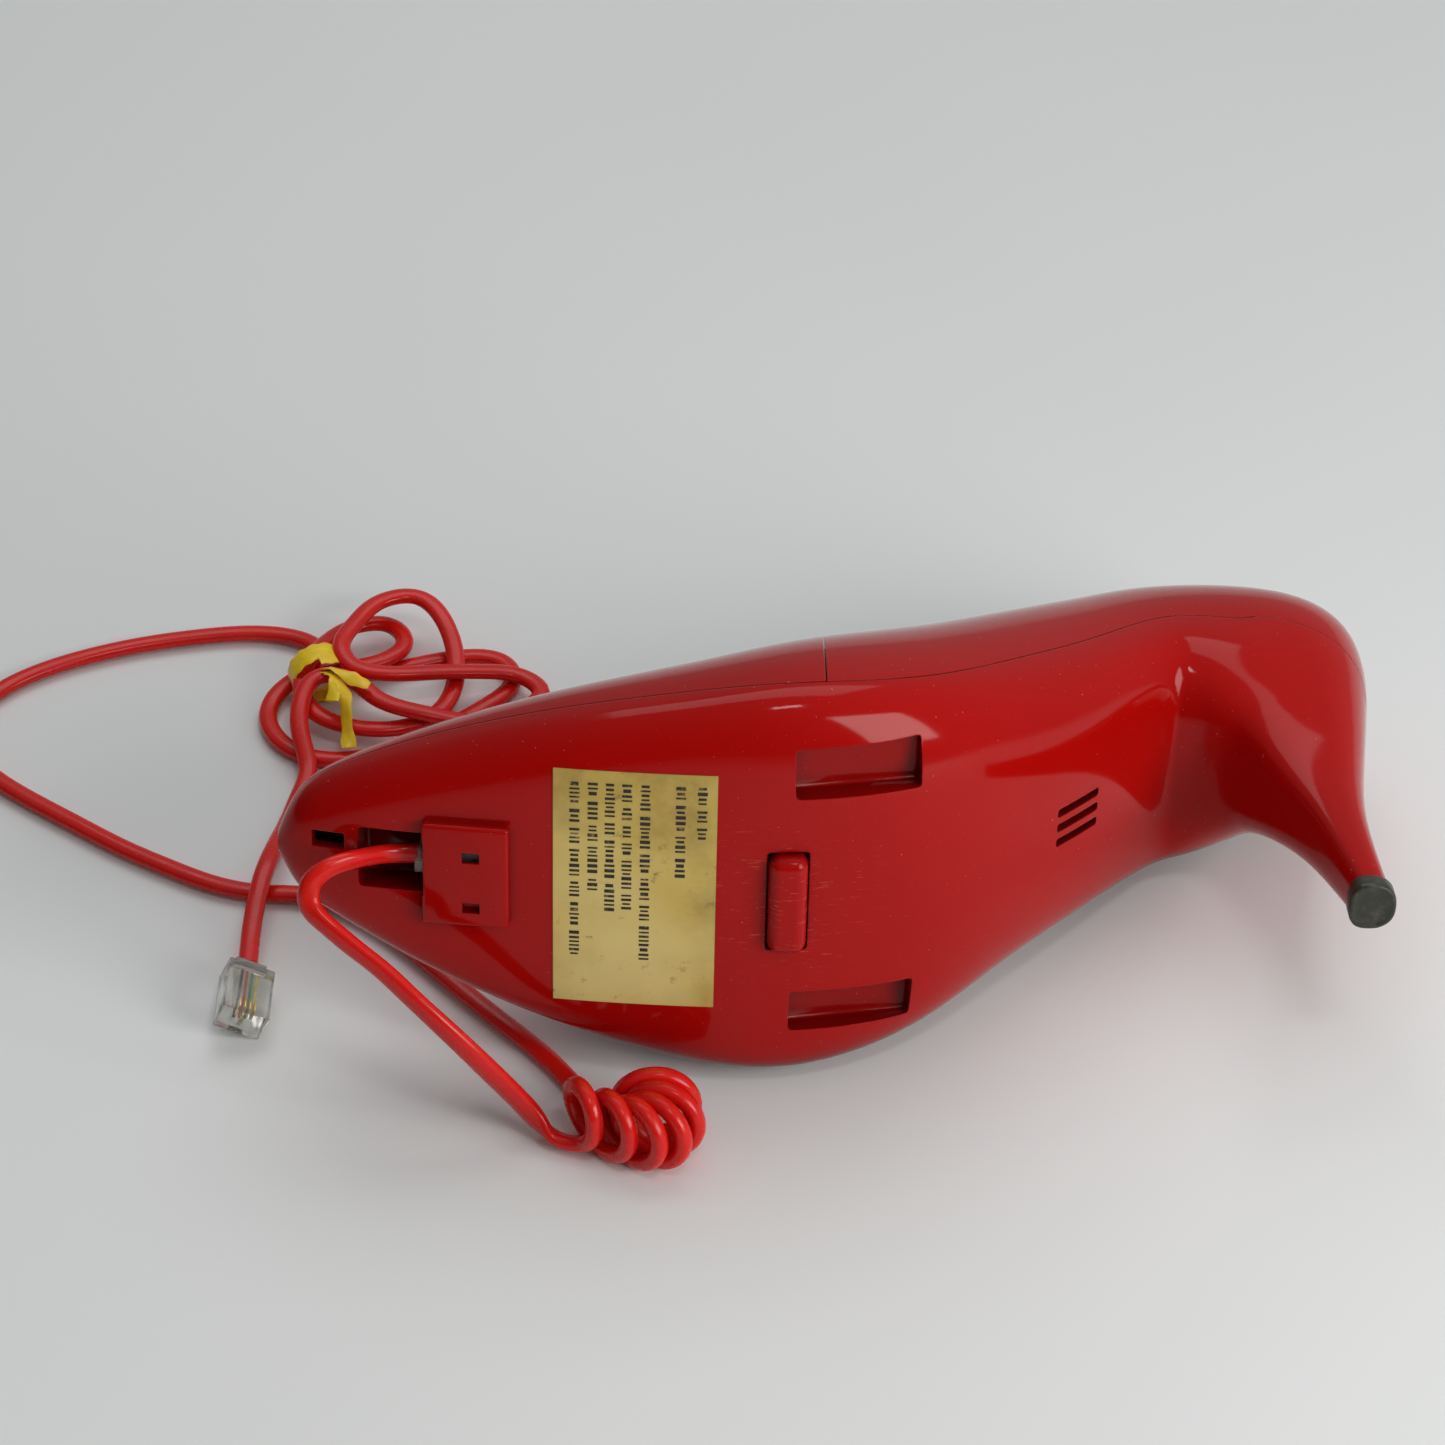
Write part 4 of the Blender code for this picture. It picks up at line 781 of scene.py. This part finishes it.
def make_label(paper, ink):
    """The rating label with rows of plain tick marks and no lettering."""
    draw = random.Random(4)
    grids = [[[(x, y, sole_height(x, y) - lift) for y in spaced(*SOLE_LABEL_Y, 60)]
              for x in spaced(*SOLE_LABEL_X, 40)] for lift in (0.02, 0.16)]
    bm = closed_sheet(*grids)
    keep(place_mesh("label_sheet", bm, paper), stands_for="rating_label")
    rows = ((80.4, 11), (76.4, 19), (69.8, 38), (66.4, 28), (63.2, 27), (60.0, 23), (56.6, 38))
    marks = bmesh.new()
    for x, length in rows:
        y = SOLE_LABEL_Y[0] + 2.4
        stop = y + length
        word = draw.randint(3, 8)
        while y < stop:
            wide, tall = draw.choice((0.4, 0.55, 0.75)), draw.choice((0.75, 0.95, 0.95))
            corners = ((x - tall, y + wide), (x + tall, y + wide), (x + tall, y), (x - tall, y))
            marks.faces.new([marks.verts.new((u, v, sole_height(u, v) - 0.19)) for u, v in corners])
            word -= 1
            y += wide + (0.45 if word else 1.3)
            word = word or draw.randint(3, 8)
    keep(place_mesh("label_marks", marks, ink))


def make_hook_bar(look):
    flange_low = WALL + 3 * GAP
    base = sole_place(HOOK_BAR_X, HOOK_BAR_Y, 0.0)
    bm = bmesh.new()
    height = flange_low + 1.0 + HOOK_BAR_PROUD
    flange = (HOOK_BAR_SIZE[0] + 3.0, HOOK_BAR_SIZE[1], 1.2)
    add_box(bm, base + Vector((0, 0, height / 2 - HOOK_BAR_PROUD)), (*HOOK_BAR_SIZE, height), 0.0, 2.3, 8)
    add_box(bm, base + Vector((0, 0, flange_low + flange[2] / 2)), flange, 0.0, 0.2)
    keep(place_mesh("hook_bar", bm, look, sharp=60), "hook_bar", "hook_switch_bar")


# ---- insole and keypad ----
def insole_half_width(x):
    clear = WALL + (0.8 if x < 190 else 2.6)
    low, high = INSOLE_CURVE(x) - INSOLE_THICKNESS, INSOLE_CURVE(x)
    widths = [half_width_at(x, z) for z in (low, high)] + [half_width_at(min(x + 3.4, 216.9), high)]
    return max(min(widths[0][0] - clear, widths[1][0] - clear, widths[2][0]), 0.8), widths[0][1]


KEYPAD_PITCH = math.atan2(INSOLE_CURVE(KEYPAD_CENTRE_X + 20) - INSOLE_CURVE(KEYPAD_CENTRE_X - 20), 40)


def keypad_place(along, across, lift):
    level, steep = math.cos(KEYPAD_PITCH), math.sin(KEYPAD_PITCH)
    return Vector((KEYPAD_CENTRE_X + along * level - lift * steep, across + 0.9,
                   INSOLE_CURVE(KEYPAD_CENTRE_X) + along * steep + lift * level))


def make_insole(look):
    xs = spaced(INSOLE_PROFILE[0][0], 206, 90) + [208.0, 209.5, 211.0, 212.4]
    columns = 18
    layers = []
    for drop in (0.0, INSOLE_THICKNESS):
        layer = []
        for x in xs:
            room, shift = insole_half_width(x)
            slope = math.atan2(INSOLE_CURVE(x + 1) - INSOLE_CURVE(x - 1), 2)
            line = []
            for across in spaced(-1, 1, columns + 1):
                rounding = 0.9 * max(abs(across) - 0.86, 0) / 0.14 if drop == 0 else 0.0
                line.append((x + math.sin(slope) * (drop + rounding), shift + room * across,
                             INSOLE_CURVE(x) - math.cos(slope) * (drop + rounding)))
            layer.append(line)
        layers.append(layer)
    bm = closed_sheet(*layers)
    insole = place_mesh("insole_pad", bm, look)
    cuts = boxes((keypad_place(0, 0, 0), (*KEYPAD_OPENING, 8.0), KEYPAD_PITCH))
    x, y = RECEIVER_CENTRE
    add_cylinder(cuts, (x, y, INSOLE_CURVE(x)), 1.3, 12.0)
    for angle in [k * math.pi / 3 for k in range(6)]:
        add_cylinder(cuts, (x + 6 * math.cos(angle), y + 6 * math.sin(angle), INSOLE_CURVE(x)), 1.3, 12.0)
    for across in (-2.5, 0.0, 2.5):
        add_cylinder(cuts, (MICROPHONE_X, across, INSOLE_CURVE(MICROPHONE_X)), 0.6, 8.0, 12)
    keep(cut_or_add(insole, [("DIFFERENCE", cuts)]), stands_for="insole_panel")


def key_places():
    rows = (("1", "2", "3"), ("4", "5", "6"), ("7", "8", "9"), ("star", "0", "hash"))
    for i, names in enumerate(rows):
        for j, name in enumerate(names):
            yield name, (i - 1.5) * KEY_PITCH_X, (j - 1) * KEY_PITCH_Y


def keypad_matrix(along, across, lift):
    turn = Matrix.Rotation(-KEYPAD_PITCH, 4, "Y")
    return SHOE @ Matrix.Translation(keypad_place(along, across, lift) * MM) @ turn


def print_digit(name, along, across, lift, ink):
    """The key's digit as flat raised print, read with the toe end at the top."""
    words = bpy.data.curves.new("digit", "FONT")
    words.body = {"star": "*", "hash": "#"}.get(name, name)
    words.align_x, words.align_y = "CENTER", "CENTER"
    words.size, words.extrude = 5.0 * MM, 0.04 * MM
    text = add_object("digit_source", words)
    bpy.context.view_layer.update()
    mesh = bpy.data.meshes.new_from_object(text.evaluated_get(bpy.context.evaluated_depsgraph_get()))
    bpy.data.objects.remove(text, do_unlink=True)
    mesh.materials.clear()
    mesh.materials.append(ink)
    mesh.transform(keypad_matrix(along, across, lift) @ Matrix.Rotation(math.pi / 2, 4, "Z"))
    keep(add_object("digit_" + name, mesh), "button_" + name)


def make_keypad(plate, cream, ink):
    key_middle = FACEPLATE_PROUD + KEY_PROUD - KEY_SIZE[2] / 2
    key_top = FACEPLATE_PROUD + KEY_PROUD
    face = place_mesh("keypad_plate", boxes(((0, 0, 0), FACEPLATE_SIZE, 0.0, 0.6)), plate,
                      keypad_matrix(0, 0, FACEPLATE_PROUD - FACEPLATE_SIZE[2] / 2))
    holes = boxes(*[((along, across, 0), (KEY_SIZE[0] + 0.6, KEY_SIZE[1] + 0.6, 8.0), 0.0, 0.9)
                    for _, along, across in key_places()])
    cut_or_add(face, [("DIFFERENCE", holes)], keypad_matrix(0, 0, 0))
    keep(face, stands_for="keypad_faceplate")
    for name, along, across in key_places():
        bm = bmesh.new()
        add_box(bm, (0, 0, 0), KEY_SIZE, 0.0, 1.0, 4)
        key = place_mesh("keycap_" + name, bm, cream, keypad_matrix(along, across, key_middle), sharp=60)
        keep(key, "button_" + name, "key_" + name)
        print_digit(name, along, across, key_top + 0.02, ink)


# ---- cord ----
def coil_route():
    """Turns of the curly stretch: place and outward direction, from its lowest point onward."""
    middle_x, middle_y, facing = [smooth(range(len(COIL_LINE)), column) for column in zip(*COIL_LINE)]
    count = int(COIL_TURNS * COIL_POINTS_PER_TURN)
    for i in range(count + 1):
        share = i / count * (len(COIL_LINE) - 1)
        angle = i / count * COIL_TURNS * math.tau
        lean = math.radians(facing(share))
        across = math.sin(angle)
        outward = Vector((math.sin(lean) * across, -math.cos(lean) * across, -math.cos(angle)))
        middle = Vector((middle_x(share), middle_y(share), COIL_RADIUS + COIL_HALF_THICKNESS))
        yield middle + outward * COIL_RADIUS, outward


def cord_path():
    """Evenly spaced points of the whole cord, their thin direction, width and thickness."""
    stops = []
    sole_out = Vector((0.0, -0.98, 0.19))
    last = len(NEAR_RUN) - 1
    for i, point in enumerate(NEAR_RUN):
        share = i / last
        stops.append((Vector(point), sole_out.lerp(Vector((0.3, -0.6, -0.7)), share), 3.9 + share, 2.8))
    for i, (point, outward) in enumerate(coil_route()):
        if i > 3:
            stops.append((point, outward, 3.4, 3.3))
    down = Vector((-0.97, -0.25, 0))
    for i, point in enumerate(LINE_RUN + LOOPS + TAIL_RUN):
        stops.append((Vector(point), down.lerp(Vector((0, 0, 1)), min((i + 1) / 4, 1.0)), 4.0, 2.7))
    marks = [0.0]
    for (here, *_), (there, *_) in zip(stops, stops[1:]):
        marks.append(marks[-1] + (there - here).length)
    place = [smooth(marks, [stop[0][axis] for stop in stops]) for axis in range(3)]
    count = int(marks[-1] / PATH_STEP)
    path = []
    for mark in spaced(0, marks[-1], count):
        i = min(max(bisect.bisect_left(marks, mark) - 1, 0), len(stops) - 2)
        share = (mark - marks[i]) / (marks[i + 1] - marks[i])
        _, thin, width, thick = stops[i]
        _, next_thin, next_width, next_thick = stops[i + 1]
        path.append((Vector([axis(mark) for axis in place]), thin.lerp(next_thin, share),
                     width + (next_width - width) * share, thick + (next_thick - thick) * share))
    return path


def sweep(path, sides=14):
    """A tube with a rounded flat section along a path."""
    rings = []
    for i, (point, thin, width, thick) in enumerate(path):
        ahead, behind = path[min(i + 1, len(path) - 1)][0], path[max(i - 1, 0)][0]
        along = (ahead - behind).normalized()
        thin = (thin - along * thin.dot(along)).normalized()
        wide = along.cross(thin)
        ring = []
        for k in range(sides):
            angle = math.tau * k / sides
            c, s = math.cos(angle), math.sin(angle)
            ring.append(point + wide * (width / 2 * math.copysign(abs(c) ** 0.85, c))
                        + thin * (thick / 2 * math.copysign(abs(s) ** 0.85, s)))
        rings.append(ring)
    return stack_rings(rings)


def plug_matrix(place, towards, up):
    """Local x points the way the plug goes in, z to its contact side."""
    x = Vector(towards).normalized()
    y = Vector(up).cross(x).normalized()
    z = x.cross(y)
    turn = Matrix((x, y, z)).transposed().to_4x4()
    return Matrix.Translation(Vector(place) * MM) @ turn


def make_plug(name, size, matrix, looks):
    """A modular plug: clear body with a step and a latch, gold blades and thin wires inside."""
    clear, gold, wires = looks
    length, width, height = size
    bm = bmesh.new()
    parts = (
        ((0.1, 0, 0.06), (0.8, 1.0, 0.86), 0.0, 0.35),
        ((-0.345, 0, 0.06), (0.13, 0.7, 0.56), 0.0, 0.35),
        ((0.02, 0, -0.5), (0.86, 0.32, 0.14), 0.09, 0.2),
    )
    for (x, y, z), (long, wide, high), pitch, bevel in parts:
        box = (long * length, wide * width, high * height)
        add_box(bm, (x * length, y, z * height), box, pitch, bevel, 2)
    body = place_mesh(name + "_body", bm, clear, matrix, sharp=45)
    keep(body, stands_for=name)
    contacts = [(k - 1.5) * CONTACT_PITCH for k in range(4)]
    blades = boxes(*[((0.36 * length, y, 0.34 * height), (2.6, 0.32, 0.34 * height), 0.0, 0.06)
                     for y in contacts])
    pieces = [body, keep(place_mesh(name + "_blades", blades, gold, matrix))]
    for k, (y, look) in enumerate(zip(contacts, wires)):
        fan = 0.06 * (k - 1.5)
        wire = boxes(((0.08 * length, y, 0.1 * height), (0.62 * length, 0.55, 0.55), fan, 0.18))
        pieces.append(keep(place_mesh(f"{name}_wire_{k}", wire, look, matrix, sharp=60)))
    return pieces


def make_tie(look):
    """A yellow paper-covered wire: two wraps round the loops and crumpled, twisted ends."""
    def ribbon(name, points, facing, width):
        marks = list(range(len(points)))
        place = [smooth(marks, column) for column in zip(*points)]
        side = [smooth(marks, column) for column in zip(*facing)]
        path = []
        for mark in spaced(0, len(points) - 1, 14 * len(points)):
            point, flat = [Vector([axis(mark) for axis in axes]) for axes in (place, side)]
            path.append((point, flat, width * (1 + 0.12 * math.sin(7 * mark)), 0.55))
        return place_mesh(name, sweep(path, 10), look, Matrix.Identity(4), sharp=50)

    middle, axis = Vector((-111.4, 65.6, 6.2)), Vector((0.35, -0.94, 0)).normalized()
    across = Vector((0, 0, 1)).cross(axis)
    points, facing = [], []
    for i in range(27):
        angle = math.tau * i / 12 + 0.6
        out = across * math.cos(angle) + Vector((0, 0, 1)) * math.sin(angle)
        spread = across * (6.4 * math.cos(angle)) + Vector((0, 0, 5.6 * math.sin(angle)))
        points.append(middle + spread + axis * (0.16 * i - 2.0))
        facing.append(out)
    tie = [keep(ribbon("tie_wraps", points, facing, 3.4), stands_for="twist_tie")]
    ends = (
        ("tie_end_long",
         ((-110.0, 61.0, 10.6), (-107.2, 56.6, 12.8), (-104.9, 52.2, 11.8), (-104.3, 47.8, 8.4),
          (-103.6, 42.8, 4.4)),
         ((0, 0, 1), (0.5, 0, 0.8), (0.1, 0.4, 0.9), (-0.5, 0, 0.8), (0.2, -0.3, 0.9))),
        ("tie_end_short",
         ((-109.6, 61.4, 10.8), (-106.9, 57.8, 13.6), (-103.4, 55.2, 13.4), (-99.6, 54.0, 12.4)),
         ((0, 0, 1), (0.2, 0.5, 0.8), (0, -0.4, 0.9), (0, 0.3, 0.9))),
        ("tie_end_fold",
         ((-108.4, 58.4, 12.4), (-106.8, 54.4, 13.2), (-107.4, 50.0, 11.4)),
         ((0, 0, 1), (0.5, 0.2, 0.8), (-0.4, -0.2, 0.9))),
    )
    for name, points, facing in ends:
        tie.append(keep(ribbon(name, points, facing, 3.0)))
    return tie


def make_cord(jacket, plug_looks, tie_look):
    path = cord_path()
    body = place_mesh("cord", sweep(path), jacket, Matrix.Identity(4), sharp=60)
    keep(body)
    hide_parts("near_cord", "coiled_cord", "line_cord", "tail_cord", "cord_bundle")
    jack_place = SHOE @ (sole_place(PLUG_X, PLUG_Y, PLUG_DEPTH) * MM)
    into_jack = SHOE.to_3x3() @ Vector((1, 0, math.tan(sole_slope(JACK_X))))
    in_jack = plug_matrix(jack_place / MM, into_jack, SHOE.to_3x3() @ Vector((0, 0, 1)))
    on_floor = plug_matrix(LINE_PLUG_PLACE, (0.0, -1.0, -0.02), (0.45, 0.0, 0.9))
    pieces = make_plug("jack_plug", PLUG_SIZE, in_jack, plug_looks)
    pieces += make_plug("line_plug", LINE_PLUG_SIZE, on_floor, plug_looks)
    pieces += make_tie(tie_look)
    points = [point for point, *_ in path]
    length = sum((there - here).length for here, there in zip(points, points[1:]))


# ---- camera, floor and light ----
def make_camera():
    data = bpy.data.cameras.new("camera")
    data.lens, data.sensor_width = 97.16, 36.0
    data.clip_start, data.clip_end = 0.01, 50.0
    distance = 0.705
    camera = add_object("camera", data)
    elevation = math.radians(40)
    target = Vector((-24.07, -50.06, 89.35)) * MM
    camera.location = target + Vector((0, -math.cos(elevation), math.sin(elevation))) * distance
    camera.rotation_euler = (math.pi / 2 - elevation, 0, 0)
    bpy.context.scene.camera = camera


def make_floor():
    look = Look("floor_paper", (0.82, 0.84, 0.835), 0.8)
    look.tint((0.76, 0.78, 0.775), look.range(look.noise(3, 3), 0.35, 0.7, 0.0, 0.5))
    look.bump(look.noise(900, 3), 0.04, 0.0003)
    bm = bmesh.new()
    bmesh.ops.create_grid(bm, x_segments=8, y_segments=8, size=6.0)
    floor = place_mesh("floor", bm, look.material, Matrix.Identity(4), scale=1.0)


def add_area(name, place, towards, size, power, colour=(1, 1, 1)):
    data = bpy.data.lights.new(name, "AREA")
    data.shape, data.size, data.size_y = "RECTANGLE", size[0], size[1]
    data.energy, data.color = power, colour
    light = add_object(name, data)
    light.location = place
    light.rotation_euler = (Vector(towards) - Vector(place)).to_track_quat("-Z", "Y").to_euler()


def make_light():
    world = bpy.data.worlds.new("world")
    bpy.context.scene.world = world
    world.use_nodes = True
    tree = world.node_tree
    background = tree.nodes["Background"]
    place = tree.nodes.new("ShaderNodeTexCoord")
    ramp = tree.nodes.new("ShaderNodeMapRange")
    for key, value in (("From Min", -0.45), ("From Max", 0.8), ("To Min", 0.03), ("To Max", 0.42)):
        ramp.inputs[key].default_value = value
    towards = tree.nodes.new("ShaderNodeVectorMath")
    towards.operation = "DOT_PRODUCT"
    towards.inputs[1].default_value = (0.45, 0.40, 0.60)
    tree.links.new(place.outputs["Generated"], towards.inputs[0])
    tree.links.new(towards.outputs["Value"], ramp.inputs["Value"])
    tree.links.new(ramp.outputs[0], background.inputs["Strength"])
    background.inputs["Color"].default_value = (0.97, 0.99, 1.0, 1)
    add_area("window", (0.1, 0.95, 1.65), (0, 0, 0), (1.5, 1.1), 8.3)
    add_area("side", (0.58, -0.46, 0.38), (0.03, -0.04, 0.04), (0.45, 0.4), 4.0, (1.0, 0.985, 0.96))
    add_area("pane", (0.28, -0.62, 1.5), (0, 0, 0), (0.32, 0.14), 2.0)
    bpy.context.scene.view_settings.view_transform = "Standard"


def dress_cad_nodes():
    """Give the pieces that keep their CAD shape their finishes."""
    black = satin("black_plastic", (0.02, 0.02, 0.02), 0.4, (0.05, 0.05, 0.05))
    steel = satin("steel", (0.6, 0.6, 0.6), 0.3, (0.45, 0.45, 0.44), 1.0)
    oxide = satin("black_oxide", (0.02, 0.015, 0.015), 0.55, (0.035, 0.02, 0.02))
    brass = satin("brass", (0.68, 0.48, 0.2), 0.28, (0.5, 0.33, 0.12), 1.0)
    grey = satin("grey_rubber", (0.22, 0.22, 0.22), 0.6, (0.3, 0.3, 0.3))
    board = circuit_board()
    plunger = satin("plunger", (0.4, 0.01, 0.008), 0.3, (0.3, 0.008, 0.006))
    looks = {"hook_switch": black, "hook_switch_plunger": plunger, "keypad_mat": grey,
             "keypad_board": board, "main_board": board, "receiver_capsule": black,
             "microphone_capsule": steel, "ringer_disc": brass, "modular_jack": black,
             "shell_screw_upper": oxide, "shell_screw_lower": oxide}
    for name, look in looks.items():
        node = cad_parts[name]
        node.data.materials.clear()
        node.data.materials.append(look)


def main():
    make_camera()
    red = red_plastic()
    gold = satin("gold_contacts", (0.85, 0.6, 0.22), 0.2, (0.7, 0.48, 0.16), 1.0)
    wires = [satin("wire_" + name, colour, 0.35, tuple(c * 0.7 for c in colour)) for name, colour in
             (("black", (0.02, 0.02, 0.02)), ("red", (0.6, 0.02, 0.02)), ("green", (0.03, 0.3, 0.08)),
              ("yellow", (0.75, 0.6, 0.05)))]
    jacket, clear = cord_jacket(), clear_plastic()
    yellow = satin("yellow_tie", (0.95, 0.66, 0.002), 0.35, (0.78, 0.50, 0.0), scale=500)
    make_cord(jacket, (clear, gold, wires), yellow)
    make_lower_shell(red)
    make_vamp_shell(red)
    make_seam_lip(red)
    make_quarter_shell(red)
    make_heel_tip(black_rubber())
    make_label(aged_paper(), label_ink())
    make_hook_bar(red)
    make_insole(lining())
    make_keypad(satin("keypad_black", (0.015, 0.015, 0.016), 0.35, (0.03, 0.03, 0.03)),
                satin("keypad_cream", (0.72, 0.69, 0.58), 0.3, (0.66, 0.61, 0.48)),
                satin("digit_ink", (0.015, 0.015, 0.015), 0.4, (0.03, 0.03, 0.03)))
    dress_cad_nodes()
    make_floor()
    make_light()


main()
